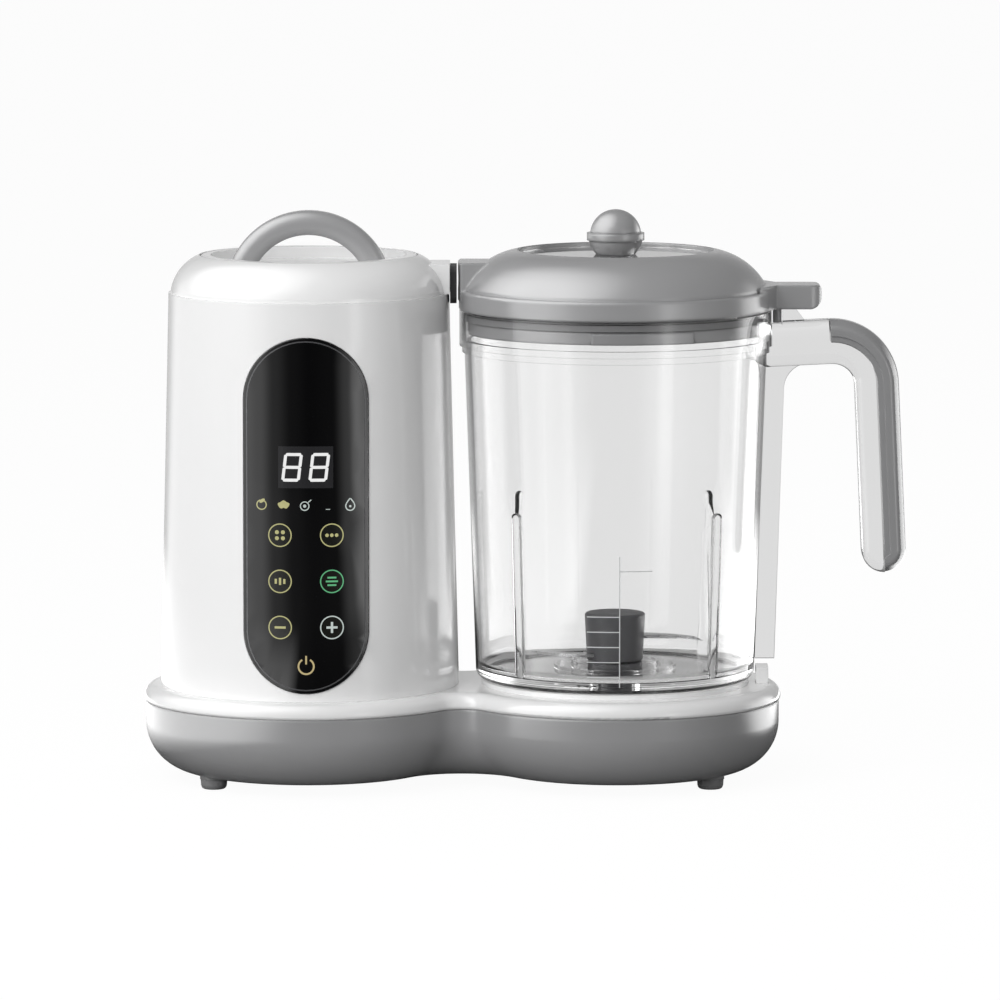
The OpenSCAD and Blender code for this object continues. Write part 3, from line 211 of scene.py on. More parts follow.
class FoodMakerFinish(bpy.types.PropertyGroup):
    """Colours of the mouldings, metals and lights."""

    white: colour("White mouldings", "#f1f1f1")
    grey: colour("Grey mouldings", "#9d9d9e")
    cover: colour("Handle cover", "#979798")
    panel: colour("Touch panel", "#050506")
    clear: colour("Clear plastic", "#f1f1f1")
    thick: colour("Thick clear plastic", "#dcdcdc")
    rubber: colour("Dark rubber", "#2b2b2c")
    # Also the lid gasket's grey, which under the lid's rim is partly painted shade
    soft_grey: colour("Grey rubber", "#868687")
    silicone: colour("Silicone", "#d9dada")
    steel: colour("Stainless steel", "#dadadb")
    zinc: colour("Zinc plating", "#bcbec3")
    aluminium: colour("Cast aluminium", "#c3c3c5")
    nylon: colour("Dark nylon", "#58585a")
    board: colour("Circuit board", "#20512c")
    copper: colour("Windings", "#9c5a2c")
    # Grey of the panel's rim line, a painted highlight of its bevelled edge
    rim: colour("Panel rim highlight", "#4e4e50")
    glass: colour("Display glass", "#2a2a2c")
    digits: colour("Display digits", "#ececec")
    yellow: colour("Yellow lights", "#b3b07c")
    green: colour("Green light", "#5fae7c")
    pale: colour("White lights", "#bcc6c2")
    warm: colour("Power light", "#b9a97c")
    glow: colour("Glow round the keys", "#12130a")
    ink: colour("Scale print", "#d2d4d4")


class FoodMakerPanel(bpy.types.PropertyGroup):
    """Sizes of the touch panel's rim line, a painted highlight, and of its lights. Heights start at the
    panel's lower end.
    """

    # The rim is a thin grey line drawn flat on the panel: a painted highlight of its bevelled edge
    rim: length("Rim", "Distance of the polished rim from the panel's edge", 1.1)
    rim_highlight_line: length("Rim line", "Width of the polished rim", 0.5)
    display_w: length("Display width", "Width of the display's window", 21.8)
    display_h: length("Display height", "Height of the display's window", 16.6)
    display_z: length("Display place", "Height of the display's middle", 90.4)
    digit_w: length("Digit width", "Width of a digit", 7.4)
    digit_h: length("Digit height", "Height of a digit", 11.4)
    digit_gap: length("Digit spacing", "Distance between the digits' middles", 10.8)
    segment: length("Segment", "Thickness of a digit's segment", 1.2)
    lean: FloatProperty(name="Lean", description="How far a digit leans for its height", default=0.12)
    icon_z: length("Icon row", "Height of the icons", 75.3)
    icon_gap: length("Icon spacing", "Distance between two icons", 8.8)
    icon_r: length("Icon radius", "Radius of an icon", 2.1)
    key_x: length("Key place", "Distance of a key's middle from the panel's middle", 10.3)
    key_r: length("Key radius", "Outer radius of a key's ring", 4.7)
    key_z: length("Lowest keys", "Height of the lowest keys", 26.5)
    key_rise: length("Key rows", "Distance between the rows of keys", 18.4)
    line: length("Key line", "Thickness of a lit line", 0.45)
    sign: length("Sign", "Length of a sign inside a key", 4.4)
    bold: length("Sign line", "Thickness of a sign's line", 0.9)
    thin: length("Thin line", "Thickness of the thinner signs' lines", 0.7)
    wave_step: length("Wave spacing", "Distance between the bars of the wave", 1.7)
    dot_step: length("Dot spacing", "Distance of the four dots from the key's middle, along X and Z", 1.2)
    dot_r: length("Dot radius", "Radius of the four dots", 0.8)
    row_step: length("Row spacing", "Distance between the dots of the row", 1.9)
    row_r: length("Row dots", "Radius of the dots of the row", 0.7)
    stack_step: length("Stack spacing", "Distance between the stacked bars", 1.5)
    power_z: length("Power key", "Height of the power key", 11.0)
    power_r: length("Power radius", "Radius of the power key", 3.4)


class FoodMakerScale(bpy.types.PropertyGroup):
    """Sizes of the filling scale on the jar. Heights start at the table."""

    low: length("Foot", "Height of the scale's foot", 44.5)
    high: length("Top", "Height of the scale's top", 97.2)
    place: length("Place", "Distance of the scale from the jar's middle", 1)
    line: length("Line", "Thickness of a line", 0.4)
    tick: length("Tick", "Length of a tick", 12.8)
    step: length("Step", "Distance between two ticks", 6.1)
    first: length("First tick", "Height of the lowest tick", 48.6)


class FoodMakerHandle(bpy.types.PropertyGroup):
    """Sizes of the handle's outer cover. Its section is measured from the middle of the handle outwards."""

    thick: length("Handle", "Thickness of the whole handle, clear part and cover", 17.9)
    bend: length("Bend", "Radius of the bend's inside", 9)
    lean: angle("Lean", "Lean of the leg", 2.7)
    short: angle("Bend end", "How far short of a right angle the bend stops", 0.4)
    seam: length("Seam", "Gap between the cover and the clear part", 0.2)
    band: length("Band", "How far the sunk band along the seam reaches", 2.5)
    sunk: length("Step", "Depth of the sunk band", 0.6)
    front: length("Front", "How far the flat front reaches", 6.3)
    slope: angle("Slope", "Turn of the sloped sides from the front", 64)
    soft: length("Soft edges", "How far the corners are rounded", 1.5)
    sharp: angle("Sharp edges", "Edges that turn further than this are drawn sharp", 35)


# Materials

def add_node(tree, kind, values=None, links=None, **settings):
    """Adds a node, with its settings, its input values and the links into it."""
    made = tree.nodes.new(kind)
    for name, value in settings.items():
        setattr(made, name, value)
    for name, value in (values or {}).items():
        made.inputs[name].default_value = value
    for name, socket in (links or {}).items():
        tree.links.new(socket, made.inputs[name])
    return made


def per(millimetres):
    """Texture scale whose features are this many millimetres across."""
    return 1 / (millimetres * MM)


def span(source, target=(0.0, 1.0)):
    """Inputs of a Map Range node: the span it reads and the span it gives."""
    return {"From Min": source[0], "From Max": source[1], "To Min": target[0], "To Max": target[1]}


def rgba(rgb, share=1.0):
    """A colour with its alpha, darkened or lightened by a share."""
    return tuple(min(1.0, c * share) for c in rgb) + (1.0,)


def skin(name, rgb, rough, values=None, tone=0.015, slow=24, grain=0.8, depth=0.002, edge=0.4, stretch=None):
    """A solid finish that reads Object coordinates.

    Slow patches shift the tone and the roughness, a fine grain lifts the surface by its depth, and a
    bevel softens the edges. Lengths are in millimetres, and rough is the lowest and highest roughness.
    Stretch draws the grain out along an axis, and the roughness then follows the grain. A grain of 0.8 mm
    or less is finer in the real material, and is drawn that coarse so that it shows.
    """
    made = bpy.data.materials.new(name)
    made.use_nodes = True
    tree = made.node_tree
    shader = tree.nodes["Principled BSDF"]
    for socket, value in (values or {}).items():
        shader.inputs[socket].default_value = value
    place = add_node(tree, "ShaderNodeTexCoord").outputs["Object"]
    if stretch:
        drawn = add_node(tree, "ShaderNodeMapping", {"Scale": stretch}, {"Vector": place}).outputs[0]
    else:
        drawn = place
    patches = add_node(tree, "ShaderNodeTexNoise", {"Scale": per(slow), "Detail": 3.0}, {"Vector": place})
    grit = add_node(tree, "ShaderNodeTexNoise", {"Scale": per(grain), "Detail": 4.0}, {"Vector": drawn})
    mixed = add_node(
        tree, "ShaderNodeMix", {MIX_A: rgba(rgb, 1 - tone), MIX_B: rgba(rgb, 1 + tone)},
        {"Factor": patches.outputs["Fac"]}, data_type="RGBA",
    )
    shine = grit if stretch else patches
    spread = add_node(tree, "ShaderNodeMapRange", span(NOISE_SPAN, rough), {"Value": shine.outputs["Fac"]})
    tree.links.new(mixed.outputs[MIX_RESULT], shader.inputs["Base Color"])
    tree.links.new(spread.outputs["Result"], shader.inputs["Roughness"])
    relief = add_node(tree, "ShaderNodeBump", {"Distance": depth * MM}, {"Height": grit.outputs["Fac"]})
    if edge:
        soft = add_node(tree, "ShaderNodeBevel", {"Radius": edge * MM}, samples=4)
        tree.links.new(soft.outputs["Normal"], relief.inputs["Normal"])
    tree.links.new(relief.outputs["Normal"], shader.inputs["Normal"])
    return made


def gloss_white_abs(finish):
    """ABS moulded in a polished tool: bright and even, with a slow ripple where it shrank."""
    return skin("gloss_white_abs", finish.white, (0.1, 0.14), {"IOR": 1.53}, tone=0.006, grain=14, depth=0.01)


def satin_grey_abs(finish):
    """ABS moulded in a spark-eroded tool: a soft, broad shine over a very fine even grain."""
    return skin(
        "satin_grey_abs", finish.grey, (0.2, 0.25), {"IOR": 1.53, "Specular IOR Level": 0.85}, tone=0.02,
        grain=0.6, edge=1.5,
    )


def gloss_grey_abs(finish):
    """Grey ABS moulded in a polished tool: sharp highlights along its sides."""
    return skin("gloss_grey_abs", finish.cover, (0.1, 0.15), {"IOR": 1.53}, grain=10, depth=0.004, edge=0.5)


def black_acrylic(finish):
    """Cast acrylic with black paint behind it: deep black under a clean mirror-like face."""
    return skin(
        "black_acrylic", finish.panel, (0.03, 0.06), {"IOR": 1.49}, tone=0.1, slow=40, grain=30, edge=0.5,
    )


def clear_copolyester(name, rgb):
    """Clear copolyester from a polished tool: glassy, with faint flow ripples that bend what is behind it."""
    return skin(
        name, rgb, (0.0, 0.02), {"IOR": 1.5, "Transmission Weight": 1.0, "Specular Tint": SOFT_GLINT},
        tone=0.004, slow=60, grain=18, depth=0.004, edge=0,
    )


def dark_rubber(finish):
    """Moulded rubber: matt and dark, with a fine dusty grain."""
    return skin("dark_rubber", finish.rubber, (0.6, 0.75), tone=0.12, slow=6, grain=0.5, depth=0.01)


def grey_rubber(finish):
    """Soft grey elastomer, darker than the mouldings, dull and even; under the lid's rim also painted shade.
    """
    return skin("grey_rubber", finish.soft_grey, (0.42, 0.55), tone=0.06, slow=6, grain=0.5, depth=0.004)


def pale_silicone(finish):
    """Food-grade silicone: milky, with a soft bloom on its face."""
    return skin(
        "pale_silicone", finish.silicone, (0.42, 0.55),
        {"IOR": 1.41, "Subsurface Weight": 0.15, "Subsurface Scale": 2 * MM}, slow=8, grain=0.7, depth=0.004,
    )


def brushed_stainless(finish):
    """Stainless steel with a brushed face: fine lines along X that spread its shine across them."""
    return skin(
        "brushed_stainless", finish.steel, (0.2, 0.36), {"Metallic": 1.0}, tone=0.04, grain=0.5, edge=0.15,
        stretch=(0.04, 1.0, 1.0),
    )


def zinc_plated_steel(finish):
    """Pressed steel with bright zinc: cool grey with cloudy patches."""
    return skin(
        "zinc_plated_steel", finish.zinc, (0.26, 0.44), {"Metallic": 1.0}, tone=0.09, slow=3, depth=0.004,
    )


def cast_aluminium(finish):
    """Die-cast aluminium: dull grey with a pebbled casting skin."""
    return skin(
        "cast_aluminium", finish.aluminium, (0.4, 0.55), {"Metallic": 1.0}, tone=0.06, slow=9, grain=1.2,
        depth=0.03,
    )


def dark_nylon(finish):
    """Glass-filled nylon: dark grey, slightly streaked, with a dry satin face."""
    return skin(
        "dark_nylon", finish.nylon, (0.36, 0.5), {"IOR": 1.53}, tone=0.08, slow=5, grain=0.5, depth=0.006,
    )


def circuit_board(finish):
    """Epoxy glass board under green mask: the copper tracks show as paler bands."""
    made = skin("circuit_board", finish.board, (0.24, 0.34), {"IOR": 1.55}, grain=0.5)
    tree = made.node_tree
    place = add_node(tree, "ShaderNodeTexCoord").outputs["Object"]
    tracks = add_node(
        tree, "ShaderNodeTexWave", {"Scale": per(12), "Distortion": 6.0, "Detail": 1.0}, {"Vector": place},
        bands_direction="Z",
    )
    mixed = tree.nodes["Principled BSDF"].inputs["Base Color"].links[0].from_node
    mixed.inputs[MIX_A].default_value = rgba(finish.board, 0.8)
    mixed.inputs[MIX_B].default_value = rgba(finish.board, 1.5)
    tree.links.new(tracks.outputs["Fac"], mixed.inputs["Factor"])
    return made


def wound_copper(finish):
    """Enamelled copper on iron: brown turns with a varnished shine."""
    return skin(
        "wound_copper", finish.copper, (0.25, 0.45), {"Metallic": 0.8}, tone=0.3, slow=2, grain=0.6,
        depth=0.05, stretch=(1.0, 1.0, 0.2),
    )


def lit_print(name, rgb, strength=1.0):
    """Back-lit print under the panel: the diffuser behind it leaves it a little cloudy."""
    made = skin(
        name, rgb, (0.1, 0.16), {"IOR": 1.49, "Emission Strength": strength}, tone=0.12, slow=2, edge=0,
    )
    tree = made.node_tree
    shader = tree.nodes["Principled BSDF"]
    cloudy = shader.inputs["Base Color"].links[0]
    tree.links.new(cloudy.from_socket, shader.inputs["Emission Color"])
    tree.links.remove(cloudy)
    shader.inputs["Base Color"].default_value = UNLIT
    return made


def panel_edge(finish):
    """Painted highlight of the panel's bevelled rim: a thin grey line drawn flat on the panel, in place of
    the light that its cut and polished edge catches.
    """
    return skin("panel_edge", finish.rim, (0.2, 0.3), {"IOR": 1.49}, tone=0.1, slow=12, grain=2, edge=0)


def display_glass(finish):
    """Smoked glass over the digits: nearly black, a shade paler than the panel round it."""
    return skin("display_glass", finish.glass, (0.05, 0.09), {"IOR": 1.5}, tone=0.1, slow=4, grain=6, edge=0)


def scale_ink(finish):
    """Pad-printed ink on the jar: thin pale grey with a matt, slightly mottled face."""
    return skin("scale_ink", finish.ink, (0.5, 0.6), tone=0.1, slow=2, grain=0.4, edge=0)


def dress(made, *nodes):
    """Gives CAD nodes a material."""
    for node in nodes:
        slots = NODES[node].data.materials
        slots.clear()
        slots.append(made)


# Lit figures and print, drawn flat (x across, z up) and wrapped round an upright cone

def front_of(node, axis_x):
    """Radius of a node's front at any height, from two rays cast at the axis."""
    mesh = NODES[node].data
    tree = BVHTree.FromPolygons([v.co for v in mesh.vertices], [p.vertices for p in mesh.polygons])
    low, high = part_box(node)
    heights = [low.z + (high.z - low.z) * share for share in FRONT_SHARES]
    radii = [-tree.ray_cast(Vector((axis_x, 2 * low.y, z)), Vector((0, 1, 0)))[0].y for z in heights]
    slope = (radii[1] - radii[0]) / (heights[1] - heights[0])
    return lambda z: radii[0] + slope * (z - heights[0])


def upright(x, z, width, height, turn):
    """The matrix that stands a flat shape up, stretches it, turns it from +X towards +Z and places it."""
    place = Matrix.Translation((x, 0, z)) @ Matrix.Rotation(-turn, 4, "Y")
    return place @ Matrix.Diagonal((width, 1, height, 1)) @ Matrix.Rotation(math.pi / 2, 4, "X")


def bar(bm, x, z, width, height, turn=0.0):
    """A rectangle. Returns its vertices."""
    place = upright(x, z, width, height, turn)
    return bmesh.ops.create_grid(bm, x_segments=1, y_segments=1, size=0.5, matrix=place)["verts"]


def disc(bm, x, z, radius, width=1.0, turn=0.0):
    """A round patch, or an oval one whose width is given as a share of its height. Returns its vertices."""
    place = upright(x, z, width, 1, turn)
    made = bmesh.ops.create_circle(bm, cap_ends=True, radius=radius, segments=DISC_SIDES, matrix=place)
    return made["verts"]


def arc(bm, x, z, radius, line, start=0.0, sweep=math.tau):
    """A ring, or a part of one that starts at an angle from +X towards +Z."""
    way = Vector((math.cos(start), 0, math.sin(start)))
    middle = Vector((x, 0, z))
    ends = [bm.verts.new(middle + way * r) for r in (radius - line, radius)]
    edge = bm.edges.new(ends)
    steps = round(RING_SIDES * sweep / math.tau)
    whole = math.isclose(sweep, math.tau)
    bmesh.ops.spin(
        bm, geom=ends + [edge], cent=middle, axis=(0, -1, 0), angle=sweep, steps=steps, use_merge=whole,
    )


def build(bm, name, made):
    """Makes an object of a finished bmesh."""
    mesh = bpy.data.meshes.new(name)
    bm.to_mesh(mesh)
    bm.free()
    mesh.materials.append(made)
    piece = bpy.data.objects.new(name, mesh)
    bpy.context.collection.objects.link(piece)
    return piece


def wrap(bm, name, body, made, radius_at, axis_x, lift):
    """Slices a flat figure, gives it thickness and lays it on a cone's front, lift millimetres proud."""
    slice_w = PRINT_SLICE * MM
    reach = max(abs(v.co.x) for v in bm.verts)
    cuts = int(reach / slice_w)
    for cut in range(-cuts, cuts + 1):
        bmesh.ops.bisect_plane(
            bm, geom=bm.verts[:] + bm.edges[:] + bm.faces[:], plane_co=(cut * slice_w, 0, 0),
            plane_no=(1, 0, 0),
        )
    raised = bmesh.ops.extrude_face_region(bm, geom=bm.faces[:], use_keep_orig=True)
    top = [part for part in raised["geom"] if isinstance(part, bmesh.types.BMVert)]
    bmesh.ops.translate(bm, verts=top, vec=(0, -PRINT_THICK * MM, 0))
    bmesh.ops.recalc_face_normals(bm, faces=bm.faces[:])
    for vert in bm.verts:
        x, y, z = vert.co
        radius = radius_at(z) + lift * MM - y
        vert.co = Vector((axis_x + x, -math.sqrt(radius * radius - x * x), z))
    piece = build(bm, name, made)
    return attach(piece, body)


def on_panel(bm, name, made, lift):
    """Lays a figure on the touch panel."""
    return wrap(bm, name, "base", made, front_of("panel_lens", TOWER_X), TOWER_X, lift)


def digit_eight(bm, x, z, panel):
    """All seven segments of a digit, leaning to the right."""
    line = panel.segment
    half_w = (panel.digit_w - line) / 2
    half_h = (panel.digit_h - line) / 2
    gap = 0.1 * line
    before = set(bm.verts)
    made = []
    for level in (-1, 0, 1):
        made += bar(bm, x, z + level * half_h, 2 * half_w - gap, line)
    for side in (-1, 1):
        for level in (-0.5, 0.5):
            made += bar(bm, x + side * half_w, z + level * half_h, line, half_h - gap)
    bmesh.ops.bevel(
        bm, geom=made, offset=0.42 * line, segments=3, profile=0.5, affect="VERTICES", material=-1,
    )
    shear = Matrix(((1, 0, panel.lean, -panel.lean * z), (0, 1, 0, 0), (0, 0, 1, 0), (0, 0, 0, 1)))
    bmesh.ops.transform(bm, matrix=shear, verts=[v for v in bm.verts if v not in before])


# Handle

def cover_outline(bm, handle, half_w, middle):
    """The cover's outline, across the leg's top: sunk bands at the seam, a flat front and sloped sides."""
    reach = handle.thick / 2
    side = half_w - (reach - handle.front) * math.tan(handle.slope)
    half = (
        (handle.seam, half_w - handle.sunk), (handle.band, half_w - handle.sunk), (handle.band, half_w),
        (handle.front, half_w), (reach, side),
    )
    outline = [(x, -y) for x, y in half] + [(x, y) for x, y in reversed(half)]
    verts = [bm.verts.new((middle + x, y, 0)) for x, y in outline]
    bm.faces.new(verts)
    bmesh.ops.bevel(
        bm, geom=verts[3:7], offset=handle.soft, segments=5, profile=0.5, affect="VERTICES", material=-1,
    )
    bmesh.ops.delete(bm, geom=bm.faces[:], context="FACES_ONLY")


def handle_grip(handle, made):
    """The cover: its outline spun round the bend, drawn down the leg and spun round the leg's end."""
    low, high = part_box("handle_cover")
    middle = handle.bend + handle.thick / 2
    bend_z = high.z - handle.bend - handle.thick
    rise = middle * math.sin(handle.lean) - handle.thick / 2
    leg = (bend_z + rise - low.z) / math.cos(handle.lean)
    bend_x = high.x - handle.thick / 2 - middle * math.cos(handle.lean) - leg * math.sin(handle.lean)
    bm = bmesh.new()
    cover_outline(bm, handle, (high.y - low.y) / 2, middle)
    top = bm.verts[:] + bm.edges[:]
    drawn = bmesh.ops.extrude_edge_only(bm, edges=bm.edges[:])["geom"]
    foot = [part for part in drawn if isinstance(part, bmesh.types.BMVert)]
    rim = [part for part in drawn if isinstance(part, bmesh.types.BMEdge) and set(part.verts) <= set(foot)]
    bmesh.ops.translate(bm, verts=foot, vec=(0, 0, -leg))
    bmesh.ops.spin(
        bm, geom=top, cent=(0, 0, 0), axis=(0, -1, 0), angle=math.pi / 2 - handle.short, steps=24,
        use_merge=False,
    )
    bmesh.ops.spin(
        bm, geom=foot + rim, cent=(middle, 0, -leg), axis=(0, 1, 0), angle=math.pi / 2, steps=16,
        use_merge=False,
    )
    bmesh.ops.holes_fill(bm, edges=[edge for edge in bm.edges if edge.is_boundary], sides=0)
    bmesh.ops.recalc_face_normals(bm, faces=bm.faces[:])
    place = Matrix.Translation((bend_x, 0, bend_z)) @ Matrix.Rotation(-handle.lean, 4, "Y")
    bmesh.ops.transform(bm, matrix=place, verts=bm.verts[:])
    piece = build(bm, "handle_grip", made)
    piece.data.shade_smooth()
    piece.data.set_sharp_from_angle(angle=handle.sharp)
    return piece


# Studio

def softbox(name, watts, azimuth, elevation, width, height):
    """A rectangular lamp that faces the object and isn't mirrored in it."""
    data = bpy.data.lights.new(name, "AREA")
    data.shape = "RECTANGLE"
    data.size = width
    data.size_y = height
    data.energy = watts
    turn = math.radians(azimuth)
    rise = math.radians(elevation)
    out = Vector((math.sin(turn) * math.cos(rise), -math.cos(turn) * math.cos(rise), math.sin(rise)))
    lamp = bpy.data.objects.new(name, data)
    lamp.location = LAMP_AIM + out * LAMP_DISTANCE
    lamp.rotation_euler = (-out).to_track_quat("-Z", "Y").to_euler()
    lamp.visible_glossy = False
    lamp.visible_transmission = False
    bpy.context.collection.objects.link(lamp)


def studio_ring(tree, parts):
    """Brightness of the studio round the object, from a direction's X and Y."""
    front = add_node(tree, "ShaderNodeMath", {1: -1.0}, {0: parts["Y"]}, operation="MULTIPLY")
    turn = add_node(tree, "ShaderNodeMath", links={0: parts["X"], 1: front.outputs[0]}, operation="ARCTAN2")
    share = add_node(tree, "ShaderNodeMapRange", span((-math.pi, math.pi)), {"Value": turn.outputs[0]})
    ramp = add_node(tree, "ShaderNodeValToRGB", links={"Fac": share.outputs["Result"]})
    ramp.color_ramp.interpolation = "EASE"
    stops = ramp.color_ramp.elements
    for place, (azimuth, level) in enumerate(STUDIO_RING):
        stop = stops[place] if place < 2 else stops.new(1.0)
        stop.position = (azimuth + 180) / 360
        stop.color = rgba((level / RING_PEAK,) * 3)
    lit = add_node(tree, "ShaderNodeMath", {1: RING_PEAK}, {0: ramp.outputs["Color"]}, operation="MULTIPLY")
    return lit.outputs[0]


def clear_view(tree, way):
    """Brightness seen through clear plastic: white straight behind and grey to the sides, for dark edges."""
    parts = add_node(tree, "ShaderNodeSeparateXYZ", links={"Vector": way}).outputs
    seen = add_node(tree, "ShaderNodeMapRange", span(CLEAR_TURN, CLEAR_VIEW), {"Value": parts["Y"]})
    return seen.outputs["Result"]


def by_ray(tree, plain, mirrored, through, seen):
    """Brightness by kind of ray: one that lights, is mirrored, sees through clear plastic or sees straight.

    What is mirrored first and then seen through clear plastic counts as mirrored.
    """
    rays = add_node(tree, "ShaderNodeLightPath").outputs
    shiny = add_node(
        tree, "ShaderNodeMath", links={0: rays["Is Glossy Ray"], 1: rays["Is Transmission Ray"]},
        operation="MAXIMUM",
    )
    unmirrored = add_node(tree, "ShaderNodeMath", {1: 0.5}, {0: rays["Glossy Depth"]}, operation="LESS_THAN")
    clear = add_node(
        tree, "ShaderNodeMath", links={0: rays["Is Transmission Ray"], 1: unmirrored.outputs[0]},
        operation="MULTIPLY",
    )
    shone = add_node(tree, "ShaderNodeMix", {"A": plain}, {"Factor": shiny.outputs[0], "B": mirrored})
    bent = add_node(
        tree, "ShaderNodeMix", links={"Factor": clear.outputs[0], "A": shone.outputs["Result"], "B": through},
    )
    level = add_node(
        tree, "ShaderNodeMix", {"B": seen}, {"Factor": rays["Is Camera Ray"], "A": bent.outputs["Result"]},
    )
    return level.outputs["Result"]


def room_light(light):
    """The room: white where it is seen, dim where it lights, and a ring of screens where it is mirrored."""
    world = bpy.data.worlds.new("studio")
    bpy.context.scene.world = world
    world.cycles.sampling_method = "NONE"
    world.use_nodes = True
    tree = world.node_tree
    tree.nodes.clear()
    way = add_node(tree, "ShaderNodeTexCoord").outputs["Generated"]
    parts = add_node(tree, "ShaderNodeSeparateXYZ", links={"Vector": way}).outputs
    ring = studio_ring(tree, parts)
    up = add_node(tree, "ShaderNodeMapRange", span(RING_FADE), {"Value": parts["Z"]})
    low = add_node(tree, "ShaderNodeMix", {"B": light.ambient}, {"Factor": up.outputs["Result"], "A": ring})
    near = add_node(tree, "ShaderNodeVectorMath", {1: HIGH_SCREEN}, {0: way}, operation="DOT_PRODUCT")
    high = add_node(tree, "ShaderNodeMapRange", span(SCREEN_EDGE), {"Value": near.outputs["Value"]})
    mirrored = add_node(
        tree, "ShaderNodeMix", {"B": light.screen},
        {"Factor": high.outputs["Result"], "A": low.outputs["Result"]},
    )
    strength = by_ray(tree, light.ambient, mirrored.outputs["Result"], clear_view(tree, way), 1.0)
    back = add_node(tree, "ShaderNodeBackground", {"Color": WHITE}, {"Strength": strength})
    add_node(tree, "ShaderNodeOutputWorld", links={"Surface": back.outputs["Background"]})


def pale_floor():
    """The floor: white with a faint shadow where it is seen, lit by the ring where it is mirrored."""
    made = bpy.data.materials.new("pale_floor")
    made.use_nodes = True
    tree = made.node_tree
    tree.nodes.clear()
    rays = add_node(tree, "ShaderNodeLightPath").outputs
    place = add_node(tree, "ShaderNodeTexCoord").outputs["Object"]
    parts = add_node(tree, "ShaderNodeSeparateXYZ", links={"Vector": place}).outputs
    away = add_node(tree, "ShaderNodeVectorMath", links={0: place}, operation="LENGTH")
    far = add_node(tree, "ShaderNodeMapRange", span(SHEETS_END), {"Value": away.outputs["Value"]})
    left = add_node(tree, "ShaderNodeMapRange", span(LEFT_EDGE, (LEFT_SHEET, 0.0)), {"Value": parts["X"]})
    right = add_node(tree, "ShaderNodeMapRange", span(RIGHT_EDGE, (0.0, RIGHT_SHEET)), {"Value": parts["X"]})
    behind = add_node(tree, "ShaderNodeMapRange", span(BACK_EDGE), {"Value": parts["Y"]})
    sheets = add_node(
        tree, "ShaderNodeMath",
        links={0: right.outputs["Result"], 1: behind.outputs["Result"], 2: left.outputs["Result"]},
        operation="MULTIPLY_ADD",
    )
    gleam = add_node(
        tree, "ShaderNodeMix",
        links={"Factor": far.outputs["Result"], "A": sheets.outputs[0], "B": studio_ring(tree, parts)},
    )
    way = add_node(tree, "ShaderNodeVectorMath", links={0: place}, operation="NORMALIZE").outputs["Vector"]
    level = by_ray(tree, 0.0, gleam.outputs["Result"], clear_view(tree, way), FLOOR_GLOW)
    glow = add_node(tree, "ShaderNodeEmission", links={"Strength": level})
    seen = add_node(tree, "ShaderNodeBsdfDiffuse", {"Color": rgba((FLOOR_SHADE,) * 3)})
    plain = add_node(tree, "ShaderNodeBsdfDiffuse", {"Color": rgba((FLOOR_BOUNCE,) * 3)})
    matt = add_node(
        tree, "ShaderNodeMixShader",
        links={0: rays["Is Diffuse Ray"], 1: seen.outputs[0], 2: plain.outputs[0]},
    )
    both = add_node(tree, "ShaderNodeAddShader", links={0: matt.outputs[0], 1: glow.outputs[0]})
    add_node(tree, "ShaderNodeOutputMaterial", links={"Surface": both.outputs[0]})
    return made


def photo_camera(view):
    """The camera, level across and tilted down a little."""
    data = bpy.data.cameras.new("photo_camera")
    data.lens = view.lens
    data.clip_end = CAMERA_REACH
    back = Vector((0, -math.cos(view.elevation), math.sin(view.elevation)))
    camera = bpy.data.objects.new("photo_camera", data)
    camera.location = Vector((view.aim_x, 0, view.aim_z)) + back * view.distance
    camera.rotation_euler = (-back).to_track_quat("-Z", "Y").to_euler()
    bpy.context.collection.objects.link(camera)
    bpy.context.scene.camera = camera


class FOODMAKER_OT_stage(bpy.types.Operator):
    """Sets up the camera, the floor and the lights"""

    bl_idname = "foodmaker.stage"
    bl_label = "Stage"

    def execute(self, context):
        light = context.scene.food_maker_light
        context.scene.view_settings.view_transform = "Standard"
        photo_camera(context.scene.food_maker_view)
        bm = bmesh.new()
        bmesh.ops.create_circle(bm, cap_ends=True, radius=FLOOR_R, segments=FLOOR_SIDES)
        floor = build(bm, "floor", pale_floor())
        room_light(light)
        for name, (azimuth, elevation, width, height) in LAMPS.items():
            softbox(name, getattr(light, name), azimuth, elevation, width, height)
        return {"FINISHED"}


class FOODMAKER_OT_mouldings(bpy.types.Operator):
    """Gives the white, grey, black and clear mouldings their finish"""

    bl_idname = "foodmaker.mouldings"
    bl_label = "Mouldings"

    def execute(self, context):
        finish = context.scene.food_maker_finish
        dress(gloss_white_abs(finish), "base_deck", "jar_key_post", "tower_shell", "top_cover", "tank_cap")
        dress(
            satin_grey_abs(finish), "base_pan", "cord_gland", "arch_handle", "lid_shell", "knob_base",
            "knob_ball",
        )
        dress(black_acrylic(finish), "panel_lens")
        dress(clear_copolyester("clear_copolyester", finish.clear), "jar_body", "lid_window")
        dress(clear_copolyester("thick_copolyester", finish.thick), "jar_handle")
        # Clear pieces let the lamps shine through
        for node in ("jar_body", "jar_handle", "lid_window"):
            NODES[node].visible_shadow = False
            NODES[node].visible_diffuse = False
        return {"FINISHED"}


class FOODMAKER_OT_seals(bpy.types.Operator):
    """Gives the feet, gaskets, belt and steam pipe their finish"""

    bl_idname = "foodmaker.seals"
    bl_label = "Rubber and silicone"

    def execute(self, context):
        finish = context.scene.food_maker_finish
        dress(dark_rubber(finish), "steam_gasket", "drive_belt")
        # The lid gasket sits just under the lid's rim, where its darker grey is partly painted shade
        dress(grey_rubber(finish), "rubber_feet", "lid_gasket")
        dress(pale_silicone(finish), "boiler_gasket", "cap_gasket", "steam_pipe")
        return {"FINISHED"}


